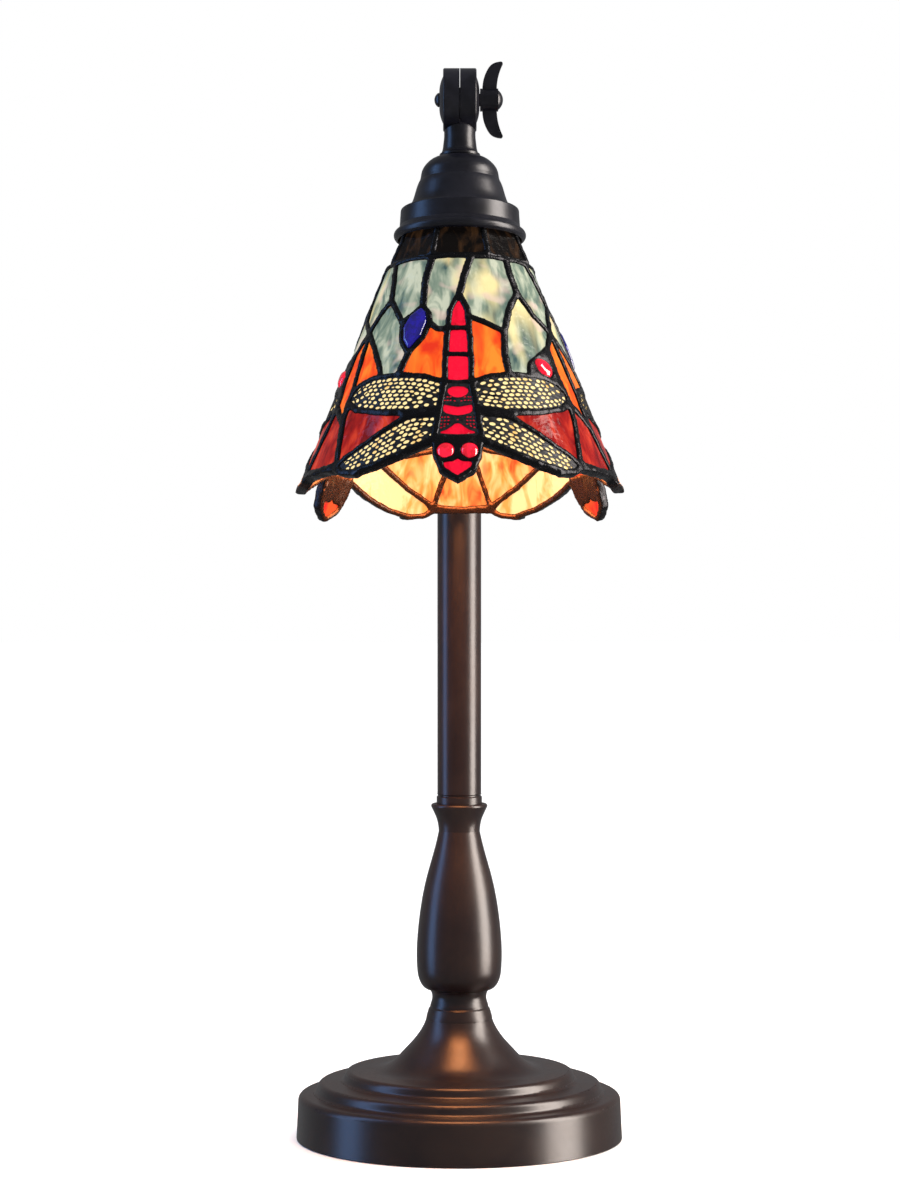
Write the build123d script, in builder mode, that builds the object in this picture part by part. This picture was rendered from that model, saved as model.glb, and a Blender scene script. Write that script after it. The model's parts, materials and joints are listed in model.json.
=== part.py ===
from build123d import *
from math import asin, cos, radians, sin
import os

# Stained glass table lamp: a weighted foot with a turned column, a gooseneck arm, and a
# tilting head that carries a conical dragonfly shade.  Millimetres, +Z up, front towards -Y,
# origin at the centre of the pad that the lamp stands on.

os.makedirs("parts", exist_ok=True)

# ---------------------------------------------------------------- driving dimensions

FOOT_RADIUS = 82.5
FOOT_HEIGHT = 22.0
WALL = 2.0                      # sheet of the foot and baluster
PAD_THICKNESS = 2.0
PLATE_THICKNESS = 1.0
COLUMN_JOINT_Z = 60.0           # top of the foot's bell
BALUSTER_Z = 75.0
STEM_Z = 174.3
STEM_TOP_Z = 430.0
STEM_RADIUS = 11.1
ROD_RADIUS = 5.0                # hollow all-thread rod through the column
ROD_BORE = 3.5
ARM_RADIUS = 6.35
ARM_BORE = 5.2
ARM_BEND = 60.0

PIVOT = Vector(0, -95.2, 514.8)
TILT = 9.0                      # degrees that the head leans forward at rest
DISC_RADIUS = 15.2
DISC_WIDTH = 7.85
SEAM = 0.15                     # half the gap between the two halves of the knuckle
NECK_RADIUS = 7.5
BOLT_RADIUS = 3.0
RUNNING = 0.06                  # radial clearance on the pivot bolt
BETWEEN_BODIES = 0.3

SHADE_TOP_S = 82.8              # distance from the pivot to the top of the cone
SHADE_TOP_RADIUS = 32.4
SHADE_SLOPE = 0.391             # growth of the radius per mm along the axis
SHADE_TURN = -1.0               # degrees that the dragonflies stand off the lamp's front
GLASS = 3.0                     # thickness of the glass
CAME = 4.4                      # thickness of the solder lines
LEAD = 2.3                      # width of the solder lines
BODY_LEAD = 1.7                 # width of those round the dragonfly's body
SEAT_GAP = 0.03                 # play between a pane and its solder
SPREAD = 120                    # degrees from one dragonfly to the next

HEAD = Plane(PIVOT, x_dir=(1, 0, 0), z_dir=(0, sin(radians(TILT)), cos(radians(TILT))))
HEAD_SECTION = Plane(PIVOT, x_dir=(1, 0, 0), z_dir=(0, -cos(radians(TILT)), sin(radians(TILT))))
HEAD_AXIS = Axis(PIVOT, HEAD.z_dir)
HINGE = Plane(PIVOT, x_dir=(0, 1, 0), z_dir=(1, 0, 0))
HINGE_SECTION = Plane(PIVOT, x_dir=(1, 0, 0), z_dir=(0, -1, 0))
HINGE_AXIS = Axis(PIVOT, (1, 0, 0))


def down(*points):
    """Profile points of the head, given as (radius, distance below the pivot)."""
    return [(radius, -distance) for radius, distance in points]


def dome(edge, radius, rise):
    """Start, middle and tip of a spherical dome on an axis, rising from its edge."""
    ball = (radius ** 2 + rise ** 2) / (2 * rise)
    half = asin(radius / abs(ball)) / 2
    middle = (edge + rise - ball + ball * cos(half), abs(ball) * sin(half))
    return (edge, radius), middle, (edge + rise, 0)


def drawn_in(corners, gap):
    """The corners of a flat outline after each side has moved inwards by gap."""
    count = len(corners)
    area = sum(corners[i - 1].X * corners[i].Y - corners[i].X * corners[i - 1].Y for i in range(count))
    inward = 1 if area > 0 else -1
    sides = []
    for i in range(count):
        run = (corners[(i + 1) % count] - corners[i]).normalized()
        normal = Vector(-run.Y, run.X) * inward
        sides.append((corners[i] + normal * gap, run))
    inner = []
    for i in range(count):
        (start, run), (other, other_run) = sides[i - 1], sides[i]
        cross = run.X * other_run.Y - run.Y * other_run.X
        if abs(cross) < 0.02:
            inner.append((other.X, other.Y))
            continue
        gone = other - start
        length = (gone.X * other_run.Y - gone.Y * other_run.X) / cross
        inner.append((start.X + run.X * length, start.Y + run.Y * length))
    return inner


def save(piece, name):
    piece.part.label = name
    export_step(piece.part, f"parts/{name}.step")


# ---------------------------------------------------------------- foot

with BuildPart() as base_pad:
    with BuildSketch():
        Circle(FOOT_RADIUS - 3)
    extrude(amount=PAD_THICKNESS)
save(base_pad, "base_pad")

with BuildPart() as base_plate:
    with BuildSketch(Plane.XY.offset(PAD_THICKNESS)):
        Circle(FOOT_RADIUS - 3)
    extrude(amount=PLATE_THICKNESS)
save(base_plate, "base_plate")

SHELL_LIP = 0.5                 # the pad stands this far below the shell
INLET_Z = 14.6
INLET_RADIUS = 3.6
with BuildPart() as base_shell:
    with BuildSketch(Plane.XZ):
        with BuildLine():
            FilletPolyline(
                (FOOT_RADIUS, SHELL_LIP),
                (FOOT_RADIUS - 1, FOOT_HEIGHT + 0.6),
                (72.6, FOOT_HEIGHT + 1.2),
                (71.2, 28.6),
                (58.9, 29.4),
                (57.2, 34.6),
                (44, 34.8),
                radius=[3.2, 2.2, 2.9, 2.2, 2.9],
            )
            Spline((44, 34.8), (28.4, 43.9), (21.5, 51.6), (18, 57.2), (16.9, COLUMN_JOINT_Z),
                   tangents=[(-1, 0.02), (-0.3, 1)])
            Polyline((16.9, COLUMN_JOINT_Z), (ROD_RADIUS + 0.1, COLUMN_JOINT_Z),
                     (ROD_RADIUS + 0.1, COLUMN_JOINT_Z - WALL), (14.8, COLUMN_JOINT_Z - WALL),
                     (16, 56.2), (19.6, 50), (27, 41.6), (42, 32.8), (55.4, 32.6), (56.9, 27.2),
                     (69.3, 26.6), (70.5, 21), (79.4, 21), (79.7, SHELL_LIP), (FOOT_RADIUS, SHELL_LIP))
        make_face()
    revolve(axis=Axis.Z)
    with BuildSketch(Plane.XZ):
        with Locations((0, INLET_Z)):
            Circle(INLET_RADIUS)
    extrude(amount=-FOOT_RADIUS - 5, mode=Mode.SUBTRACT)
save(base_shell, "base_shell")

WEIGHT_RADIUS = 74.5
WEIGHT_BOTTOM = 8.5
with BuildPart() as base_weight:
    with BuildSketch(Plane.XY.offset(WEIGHT_BOTTOM)):
        Circle(WEIGHT_RADIUS)
        Circle(ROD_RADIUS + 0.2, mode=Mode.SUBTRACT)
    extrude(amount=21 - WEIGHT_BOTTOM)
    chamfer(base_weight.edges().filter_by(GeomType.CIRCLE).group_by(Axis.Z)[0].sort_by(SortBy.RADIUS)[-1],
            length=1.5)
save(base_weight, "base_weight")

INLET_FLANGE = 5.0
with BuildPart() as cord_inlet_bush:
    with BuildSketch(Plane.XZ.offset(-76)):
        with Locations((0, INLET_Z)):
            Circle(INLET_RADIUS - 0.05)
    extrude(amount=-7.2)
    with BuildSketch(Plane.XZ.offset(-83.2)):
        with Locations((0, INLET_Z)):
            Circle(INLET_FLANGE)
    extrude(amount=-1.6)
    fillet(cord_inlet_bush.edges().filter_by(GeomType.CIRCLE).group_by(Axis.Y)[-1], radius=0.7)
    with BuildSketch(Plane.XZ.offset(-70)):
        with Locations((0, INLET_Z)):
            Circle(2.8)
    extrude(amount=-20, mode=Mode.SUBTRACT)
save(cord_inlet_bush, "cord_inlet_bush")

# ---------------------------------------------------------------- column

ROD_BOTTOM = 3.2
ROD_TOP = 436.0
with BuildPart() as column_rod:
    with BuildSketch(Plane.XY.offset(ROD_BOTTOM)):
        Circle(ROD_RADIUS)
        Circle(ROD_BORE, mode=Mode.SUBTRACT)
    extrude(amount=ROD_TOP - ROD_BOTTOM)
    chamfer(column_rod.edges().filter_by(GeomType.CIRCLE).sort_by(SortBy.RADIUS)[-2:], length=0.6)
save(column_rod, "column_rod")

NUT_ACROSS_FLATS = 16.0
NUT_TOP = 7.0
with BuildPart() as rod_bottom_nut:
    with BuildSketch(Plane.XY.offset(ROD_BOTTOM + 0.2)):
        RegularPolygon(radius=NUT_ACROSS_FLATS / 2, side_count=6, major_radius=False)
        Circle(ROD_RADIUS + 0.02, mode=Mode.SUBTRACT)
    extrude(amount=NUT_TOP - ROD_BOTTOM - 0.2)
save(rod_bottom_nut, "rod_bottom_nut")

with BuildPart() as rod_lock_washer:
    with BuildSketch(Plane.XY.offset(NUT_TOP)):
        Circle(11)
        Circle(ROD_RADIUS + 0.2, mode=Mode.SUBTRACT)
    extrude(amount=WEIGHT_BOTTOM - NUT_TOP)
save(rod_lock_washer, "rod_lock_washer")

with BuildPart() as neck_ring:
    with BuildSketch(Plane.XZ):
        with BuildLine():
            Spline((16.8, COLUMN_JOINT_Z), (16.4, 62.5), (15.5, 65.6), tangents=[(0, 1), (-0.3, 1)])
            Polyline((15.5, 65.6), (14.8, 66.4), (14.7, 67.4))
            Spline((14.7, 67.4), (13.8, 70.4), (14.8, BALUSTER_Z), tangents=[(-0.3, 1), (0.6, 1)])
            Polyline((14.8, BALUSTER_Z), (ROD_RADIUS + 0.1, BALUSTER_Z),
                     (ROD_RADIUS + 0.1, COLUMN_JOINT_Z), (16.8, COLUMN_JOINT_Z))
        make_face()
    revolve(axis=Axis.Z)
save(neck_ring, "neck_ring")

BALUSTER_TOP = 168.4
with BuildPart() as baluster:
    with BuildSketch(Plane.XZ):
        with BuildLine():
            Spline((14.8, BALUSTER_Z), (20, 79.4), (21.5, 88), tangents=[(1, 0.15), (0.05, 1)])
            Spline((21.5, 88), (20.7, 108), (16.8, 131), (10.4, 155.4), tangents=[(0.05, 1), (-0.2, 1)])
            Spline((10.4, 155.4), (11.4, 161.5), (14.1, 167.6), tangents=[(0.05, 1), (0.45, 1)])
            ThreePointArc((14.1, 167.6), (13.9, 169), (12.6, 169.2))
            Polyline((12.6, 169.2), (11.6, BALUSTER_TOP), (ROD_RADIUS + 0.1, BALUSTER_TOP),
                     (ROD_RADIUS + 0.1, BALUSTER_TOP - WALL), (10.4, BALUSTER_TOP - WALL),
                     (8.4, 155.4), (13.4, 135.5), (17.6, 117.3), (19.2, 99), (19.4, 88), (17.9, 80.5),
                     (14.4, BALUSTER_Z + WALL), (ROD_RADIUS + 0.1, BALUSTER_Z + WALL),
                     (ROD_RADIUS + 0.1, BALUSTER_Z), (14.8, BALUSTER_Z))
        make_face()
    revolve(axis=Axis.Z)
save(baluster, "baluster")

SPIGOT = 8.0                    # how far the turned fittings reach into the stem tube
STEM_BORE = STEM_RADIUS - 1.2
with BuildPart() as collar_ring:
    with BuildSketch(Plane.XZ):
        Polygon((ROD_RADIUS + 0.1, BALUSTER_TOP), (11.5, BALUSTER_TOP), (11.5, 172.8), (10.9, 173.3),
                (10.9, 173.8), (11.3, STEM_Z), (STEM_BORE - 0.05, STEM_Z),
                (STEM_BORE - 0.05, STEM_Z + SPIGOT), (ROD_RADIUS + 0.1, STEM_Z + SPIGOT), align=None)
    revolve(axis=Axis.Z)
save(collar_ring, "collar_ring")

with BuildPart() as stem_tube:
    with BuildSketch(Plane.XY.offset(STEM_Z)):
        Circle(STEM_RADIUS)
        Circle(STEM_BORE, mode=Mode.SUBTRACT)
    extrude(amount=STEM_TOP_Z - STEM_Z)
save(stem_tube, "stem_tube")

CAP_TOP = STEM_TOP_Z + 15
with BuildPart() as stem_cap:
    with BuildSketch(Plane.XZ):
        with BuildLine():
            Polyline((ROD_RADIUS + 0.02, STEM_TOP_Z - SPIGOT), (STEM_BORE - 0.05, STEM_TOP_Z - SPIGOT),
                     (STEM_BORE - 0.05, STEM_TOP_Z), (12.2, STEM_TOP_Z), (12.2, STEM_TOP_Z + 2.4),
                     (11.2, STEM_TOP_Z + 3.2))
            ThreePointArc((11.2, STEM_TOP_Z + 3.2), (9.9, STEM_TOP_Z + 9.4), (7.6, CAP_TOP))
            Polyline((7.6, CAP_TOP), (ARM_RADIUS + 0.03, CAP_TOP), (ARM_RADIUS + 0.03, ROD_TOP),
                     (ROD_RADIUS + 0.02, ROD_TOP), (ROD_RADIUS + 0.02, STEM_TOP_Z - SPIGOT))
        make_face()
    revolve(axis=Axis.Z)
save(stem_cap, "stem_cap")

# ---------------------------------------------------------------- arm

ARM_END_Y = PIVOT.Y + 21.5
BEND_START = Vector(0, 0, PIVOT.Z - ARM_BEND)
BEND_END = Vector(0, -ARM_BEND, PIVOT.Z)
with BuildPart() as arm_tube:
    with BuildLine() as arm_line:
        Line((0, 0, ROD_TOP), BEND_START)
        TangentArc(BEND_START, BEND_END, tangent=(0, 0, 1))
        Line(BEND_END, (0, ARM_END_Y, PIVOT.Z))
    with BuildSketch(Plane.XY.offset(ROD_TOP)):
        Circle(ARM_RADIUS)
        Circle(ARM_BORE, mode=Mode.SUBTRACT)
    sweep(path=arm_line.wires()[0])
save(arm_tube, "arm_tube")

WIRE_RADIUS = 1.6
WIRE_BOTTOM = 12.0
with BuildPart() as inner_wire:
    with BuildLine() as wire_line:
        Line((0, 0, WIRE_BOTTOM), BEND_START)
        TangentArc(BEND_START, BEND_END, tangent=(0, 0, 1))
        Line(BEND_END, (0, ARM_END_Y + 1, PIVOT.Z))
    with BuildSketch(Plane.XY.offset(WIRE_BOTTOM)):
        Circle(WIRE_RADIUS)
    sweep(path=wire_line.wires()[0])
save(inner_wire, "inner_wire")

STUB_END_Y = PIVOT.Y + 30
with BuildPart() as arm_ferrule:
    with BuildSketch(Plane.XZ.offset(-STUB_END_Y)):
        Circle(9.2)
        Circle(ARM_RADIUS + 0.05, mode=Mode.SUBTRACT)
    extrude(amount=-4)
    fillet(arm_ferrule.edges().filter_by(GeomType.CIRCLE).group_by(SortBy.RADIUS)[-1], radius=1.2)
arm_ferrule.part = arm_ferrule.part.moved(Location((0, 0, PIVOT.Z)))
save(arm_ferrule, "arm_ferrule")

# ---------------------------------------------------------------- knuckle

SADDLE = DISC_RADIUS + BETWEEN_BODIES
EDGE = 0.8
FRICTION_RADIUS = 9.0
FRICTION_DEPTH = 1.0
with BuildPart() as knuckle_fixed_half:
    with BuildSketch(Plane.XZ.offset(-PIVOT.Y)):
        with Locations((0, PIVOT.Z)):
            Circle(NECK_RADIUS + 0.2)
    extrude(amount=-30)
    with BuildSketch(HINGE.offset(-SEAM)):
        Circle(SADDLE)
    extrude(amount=20, mode=Mode.SUBTRACT)
    with BuildSketch(HINGE.offset(-SEAM)):
        Circle(DISC_RADIUS)
    extrude(amount=-DISC_WIDTH)
    fillet(knuckle_fixed_half.edges().filter_by(GeomType.CIRCLE).group_by(Axis.X)[0], radius=EDGE)
    with BuildSketch(Plane.XZ.offset(-STUB_END_Y)):
        with Locations((0, PIVOT.Z)):
            Circle(ARM_RADIUS + 0.03)
    extrude(amount=STUB_END_Y - ARM_END_Y, mode=Mode.SUBTRACT)
    with BuildSketch(HINGE.offset(-SEAM)):
        Circle(FRICTION_RADIUS + 0.05)
    extrude(amount=-FRICTION_DEPTH, mode=Mode.SUBTRACT)
    with BuildSketch(HINGE):
        Circle(BOLT_RADIUS + 0.02)
    extrude(amount=-20, mode=Mode.SUBTRACT)
save(knuckle_fixed_half, "knuckle_fixed_half")

with BuildPart() as friction_disc:
    with BuildSketch(HINGE.offset(-SEAM - FRICTION_DEPTH)):
        Circle(FRICTION_RADIUS)
        Circle(BOLT_RADIUS + 0.05, mode=Mode.SUBTRACT)
    extrude(amount=FRICTION_DEPTH)
save(friction_disc, "friction_disc")

NECK_END = 26.4
with BuildPart() as knuckle_moving_half:
    with BuildSketch(HEAD_SECTION):
        with BuildLine():
            Polyline((0, 0), (NECK_RADIUS, 0), (NECK_RADIUS, -17.5))
            Spline((NECK_RADIUS, -17.5), (7.9, -22), (8.9, -NECK_END), tangents=[(0, -1), (0.6, -1)])
            Polyline((8.9, -NECK_END), (0, -NECK_END), (0, 0))
        make_face()
    revolve(axis=HEAD_AXIS)
    with BuildSketch(HINGE.offset(SEAM)):
        Circle(SADDLE)
    extrude(amount=-20, mode=Mode.SUBTRACT)
    with BuildSketch(HINGE.offset(SEAM)):
        Circle(DISC_RADIUS)
    extrude(amount=DISC_WIDTH)
    fillet(knuckle_moving_half.edges().filter_by(GeomType.CIRCLE).group_by(Axis.X)[-1], radius=EDGE)
    with BuildSketch(HINGE):
        Circle(BOLT_RADIUS + RUNNING)
    extrude(amount=20, mode=Mode.SUBTRACT)
    with BuildSketch(HEAD.offset(-NECK_END)):
        Circle(ROD_RADIUS + 0.03)
    extrude(amount=7, mode=Mode.SUBTRACT)
save(knuckle_moving_half, "knuckle_moving_half")

FACE = SEAM + DISC_WIDTH
with BuildPart() as bolt_side_plate:
    with BuildSketch(HINGE_SECTION):
        with BuildLine():
            Line((-FACE, BOLT_RADIUS + 0.02), (-FACE, 11.3))
            ThreePointArc((-FACE, 11.3), (-FACE - 1.4, 7.4), (-FACE - 1.8, BOLT_RADIUS + 0.02))
            Line((-FACE - 1.8, BOLT_RADIUS + 0.02), (-FACE, BOLT_RADIUS + 0.02))
        make_face()
    revolve(axis=HINGE_AXIS)
save(bolt_side_plate, "bolt_side_plate")

with BuildPart() as nut_side_plate:
    with BuildSketch(HINGE_SECTION):
        with BuildLine():
            Line((FACE, BOLT_RADIUS + RUNNING), (FACE, 11))
            ThreePointArc((FACE, 11), (FACE + 1.1, 7.4), (FACE + 1.4, BOLT_RADIUS + RUNNING))
            Line((FACE + 1.4, BOLT_RADIUS + RUNNING), (FACE, BOLT_RADIUS + RUNNING))
        make_face()
    revolve(axis=HINGE_AXIS)
save(nut_side_plate, "nut_side_plate")

BOLT_END = 16.8
with BuildPart() as pivot_bolt:
    with BuildSketch(HINGE_SECTION):
        with BuildLine():
            Polyline((BOLT_END, 0), (BOLT_END, BOLT_RADIUS - 0.4), (BOLT_END - 0.4, BOLT_RADIUS),
                     (-FACE - 1.85, BOLT_RADIUS), (-FACE - 1.85, 3.4), (-FACE - 2.4, 3.4))
            ThreePointArc(*dome(-FACE - 2.4, 3.4, -1.8))
            Line((-FACE - 4.2, 0), (BOLT_END, 0))
        make_face()
    revolve(axis=HINGE_AXIS)
save(pivot_bolt, "pivot_bolt")

HUB_START = FACE + 1.4 + BETWEEN_BODIES
HUB_END = 18.4
BORE_END = BOLT_END + 0.8
WING_ROOT = 4.6                 # the wings start inside the hub
with BuildPart() as wing_nut:
    with BuildSketch(HINGE_SECTION):
        with BuildLine():
            Polyline((BORE_END, 0), (BORE_END, BOLT_RADIUS + RUNNING), (HUB_START, BOLT_RADIUS + RUNNING),
                     (HUB_START, 5.5), (HUB_END, 5.5), (HUB_END, 4.7))
            ThreePointArc(*dome(HUB_END, 4.7, 2.3))
            Line((HUB_END + 2.3, 0), (BORE_END, 0))
        make_face()
    revolve(axis=HINGE_AXIS)
    for up in (1, -1):
        with BuildSketch(HINGE_SECTION):
            with BuildLine():
                Spline((10.8, WING_ROOT * up), (11.2, 9 * up), (13.6, 15 * up), (19.6, 18.3 * up),
                       tangents=[(0, 1 * up), (1, 0.1 * up)])
                ThreePointArc((19.6, 18.3 * up), (20.4, 17.9 * up), (20.5, 17 * up))
                Spline((20.5, 17 * up), (18.5, 11.5 * up), (17.7, WING_ROOT * up),
                       tangents=[(-0.5, -1 * up), (0, -1 * up)])
                Line((17.7, WING_ROOT * up), (10.8, WING_ROOT * up))
            make_face()
        extrude(amount=1.7, both=True)
save(wing_nut, "wing_nut")

# ---------------------------------------------------------------- fitter cup and lampholder

CUP_TOP = 28.6
CUP_WALL = 1.0
with BuildPart() as neck_collar:
    with BuildSketch(HEAD_SECTION):
        Polygon(*down((ROD_RADIUS + 0.05, NECK_END), (8.9, NECK_END), (9.7, NECK_END + 0.6),
                      (9.7, CUP_TOP - 0.5), (9.2, CUP_TOP), (ROD_RADIUS + 0.05, CUP_TOP)), align=None)
    revolve(axis=HEAD_AXIS)
save(neck_collar, "neck_collar")

with BuildPart() as fitter_cup:
    with BuildSketch(HEAD_SECTION):
        with BuildLine():
            Line((ROD_RADIUS + 0.1, -CUP_TOP), (9.6, -CUP_TOP))
            Spline((9.6, -CUP_TOP), (14, -30.2), (17.2, -33.5), (18.7, -38.4),
                   tangents=[(1, -0.1), (0.12, -1)])
            Line((18.7, -38.4), (19.1, -40))
            Spline((19.1, -40), (20.6, -43.5), (22.2, -49), (24.6, -53.6), tangents=[(0.6, -1), (1, -1)])
            FilletPolyline((24.6, -53.6), (28.2, -54.4), (28.7, -62.6), (29.7, -64.4), radius=[0.9, 0.9])
            ThreePointArc((29.7, -64.4), (31.5, -67), (29.6, -69.3))
            Polyline((29.6, -69.3), (29.1, -68.6), (28.6, -66), (27.8, -63), (27.3, -55.6), (23.6, -54.6),
                     (21.2, -49.2), (19.5, -43.7), (17.7, -39.4), (16.2, -34.2), (13.4, -31.2),
                     (9.4, -CUP_TOP - CUP_WALL), (ROD_RADIUS + 0.1, -CUP_TOP - CUP_WALL),
                     (ROD_RADIUS + 0.1, -CUP_TOP))
        make_face()
    revolve(axis=HEAD_AXIS)
save(fitter_cup, "fitter_cup")

NIPPLE_TOP = 20.0
NIPPLE_END = 37.0
with BuildPart() as socket_nipple:
    with BuildSketch(HEAD.offset(-NIPPLE_END)):
        Circle(ROD_RADIUS)
        Circle(ROD_BORE, mode=Mode.SUBTRACT)
    extrude(amount=NIPPLE_END - NIPPLE_TOP)
save(socket_nipple, "socket_nipple")

NIPPLE_NUT = CUP_TOP + CUP_WALL
with BuildPart() as nipple_nut:
    with BuildSketch(HEAD.offset(-NIPPLE_NUT)):
        RegularPolygon(radius=NUT_ACROSS_FLATS / 2, side_count=6, major_radius=False)
        Circle(ROD_RADIUS + 0.02, mode=Mode.SUBTRACT)
    extrude(amount=-2.6)
save(nipple_nut, "nipple_nut")

HOLDER_TOP = 33.0
HOLDER_JOINT = 47.0
HOLDER_RADIUS = 16.0
THREAD_RADIUS = 18.6
with BuildPart() as lampholder_cap:
    with BuildSketch(HEAD_SECTION):
        Polygon(*down((ROD_RADIUS + 0.03, HOLDER_TOP), (8, HOLDER_TOP), (13.6, 36), (15.6, 40),
                      (HOLDER_RADIUS, HOLDER_JOINT), (14.4, HOLDER_JOINT), (14, 40.6), (12.6, 37.6),
                      (7.6, 35), (ROD_RADIUS + 0.03, 35)), align=None)
    revolve(axis=HEAD_AXIS)
save(lampholder_cap, "lampholder_cap")

HOLDER_END = 84.0
PLATE_TOP = 63.6
PLATE_BOTTOM = 64.8
with BuildPart() as lampholder_body:
    with BuildSketch(HEAD_SECTION):
        Polygon(*down((14.4, HOLDER_JOINT), (HOLDER_RADIUS, HOLDER_JOINT), (HOLDER_RADIUS, 60),
                      (20.8, 61.6), (20.8, PLATE_TOP), (THREAD_RADIUS, PLATE_TOP), (THREAD_RADIUS, 76),
                      (HOLDER_RADIUS, 77), (HOLDER_RADIUS, HOLDER_END), (14.6, HOLDER_END),
                      (14.6, 52), (14.4, 52)), align=None)
    revolve(axis=HEAD_AXIS)
save(lampholder_body, "lampholder_body")

with BuildPart() as lampholder_insulator:
    with BuildSketch(HEAD.offset(-52)):
        Circle(14.3)
    extrude(amount=3)
save(lampholder_insulator, "lampholder_insulator")

with BuildPart() as centre_contact:
    with BuildSketch(HEAD_SECTION):
        Polygon((-4, -52), (2.5, -52), (2.5, -53), (1.5, -53), (2.6, -55.8), (-2.6, -56.6), (-2.6, -55.8),
                (1.2, -55.2), (0.4, -52.8), (-4, -52.8), align=None)
    extrude(amount=1.8, both=True)
save(centre_contact, "centre_contact")

with BuildPart() as screw_shell:
    with BuildSketch(HEAD_SECTION):
        Polygon(*down((13.5, 54), (14.1, 54), (14.1, 81), (13.5, 81)), align=None)
    revolve(axis=HEAD_AXIS)
    with BuildSketch(HEAD_SECTION):
        Polygon(*down((9, 52), (14.1, 52), (14.1, 54), (9, 54)), align=None)
    revolve(axis=HEAD_AXIS)
save(screw_shell, "screw_shell")

with BuildPart() as shade_ring:
    with BuildSketch(HEAD_SECTION):
        Polygon(*down((THREAD_RADIUS + 0.04, PLATE_BOTTOM), (22.2, PLATE_BOTTOM), (22.2, 67.5),
                      (21.4, 68.4), (21.4, 71.6), (THREAD_RADIUS + 0.04, 71.6)), align=None)
    revolve(axis=HEAD_AXIS)
save(shade_ring, "shade_ring")

# ---------------------------------------------------------------- bulb

BULB_RADIUS = 23.5
BULB_CENTRE = 120.0
with BuildPart() as bulb_glass:
    with BuildSketch(HEAD_SECTION):
        with BuildLine():
            Spline((13, -84.6), (14.4, -91), (20, -104), (BULB_RADIUS, -BULB_CENTRE),
                   tangents=[(0, -1), (0, -1)])
            ThreePointArc((BULB_RADIUS, -BULB_CENTRE), (BULB_RADIUS * cos(radians(45)),
                          -BULB_CENTRE - BULB_RADIUS * sin(radians(45))), (0, -BULB_CENTRE - BULB_RADIUS))
            Line((0, -BULB_CENTRE - BULB_RADIUS), (0, -BULB_CENTRE - BULB_RADIUS + 1))
            ThreePointArc((0, -BULB_CENTRE - BULB_RADIUS + 1), ((BULB_RADIUS - 1) * cos(radians(45)),
                          -BULB_CENTRE - (BULB_RADIUS - 1) * sin(radians(45))),
                          (BULB_RADIUS - 1, -BULB_CENTRE))
            Spline((BULB_RADIUS - 1, -BULB_CENTRE), (19.1, -104.5), (13.4, -91.2), (12, -84.6),
                   tangents=[(0, 1), (0, 1)])
            Line((12, -84.6), (13, -84.6))
        make_face()
    revolve(axis=HEAD_AXIS)
save(bulb_glass, "bulb_glass")

with BuildPart() as bulb_cap:
    with BuildSketch(HEAD_SECTION):
        Polygon(*down((0, 57.2), (4.4, 57.2), (5, 58.4), (11.4, 61), (13.2, 62), (13.2, 80), (13.6, 84.5),
                      (4.2, 84.5), (4.2, 62), (0, 62)), align=None)
    revolve(axis=HEAD_AXIS)
save(bulb_cap, "bulb_cap")

with BuildPart() as bulb_stem:
    with BuildSketch(HEAD_SECTION):
        Polygon(*down((0, 63), (3.9, 63), (3.9, 88), (2, 94), (2, 122), (2.9, 124), (0, 126)), align=None)
    revolve(axis=HEAD_AXIS)
save(bulb_stem, "bulb_stem")

# ---------------------------------------------------------------- crown of the shade

CROWN_TOP = 64.9
CROWN_BOTTOM = 83.5
CROWN_TOP_RADIUS = 25.9
CROWN_BOTTOM_RADIUS = 33.9
CROWN_SIDES = 8
HALF_SIDE = 180 / CROWN_SIDES


def crown_corner(radius, distance, degrees):
    angle = radians(degrees)
    return HEAD.from_local_coords(Vector(radius * sin(angle), -radius * cos(angle), -distance))


def crown_prism(side, gap):
    """A prism through one facet of the crown, drawn in from its solder lines by gap."""
    middle = side * 2 * HALF_SIDE
    angle = radians(middle)
    corners = [crown_corner(radius, distance, middle + turn)
               for radius, distance, turn in ((CROWN_TOP_RADIUS, CROWN_TOP, -HALF_SIDE),
                                              (CROWN_BOTTOM_RADIUS, CROWN_BOTTOM, -HALF_SIDE),
                                              (CROWN_BOTTOM_RADIUS, CROWN_BOTTOM, HALF_SIDE),
                                              (CROWN_TOP_RADIUS, CROWN_TOP, HALF_SIDE))]
    across = HEAD.from_local_coords(Vector(cos(angle), sin(angle), 0)) - PIVOT
    along = ((corners[0] + corners[3]) - (corners[1] + corners[2])).normalized()
    facet = Plane((corners[0] + corners[2]) / 2, x_dir=across, z_dir=across.cross(along))
    with BuildPart() as prism:
        with BuildSketch(facet):
            Polygon(*drawn_in([facet.to_local_coords(corner) for corner in corners], gap), align=None)
        extrude(amount=6, both=True)
    return prism.part


def crown_wall(thickness):
    """An eight-sided hollow frustum of the given wall."""
    with BuildPart() as wall:
        for half, mode in ((thickness / 2, Mode.ADD), (-thickness / 2, Mode.SUBTRACT)):
            with BuildSketch(HEAD.offset(-CROWN_TOP)):
                RegularPolygon(radius=CROWN_TOP_RADIUS + half, side_count=CROWN_SIDES, rotation=HALF_SIDE)
            with BuildSketch(HEAD.offset(-CROWN_BOTTOM)):
                RegularPolygon(radius=CROWN_BOTTOM_RADIUS + half, side_count=CROWN_SIDES,
                               rotation=HALF_SIDE)
            loft(ruled=True, mode=mode)
    return wall.part


crown_panes = [crown_prism(side, LEAD / 2) for side in range(CROWN_SIDES)]
with BuildPart() as crown_glass:
    add(crown_wall(2.0))
    add(crown_panes, mode=Mode.INTERSECT)
save(crown_glass, "crown_glass")

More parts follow.
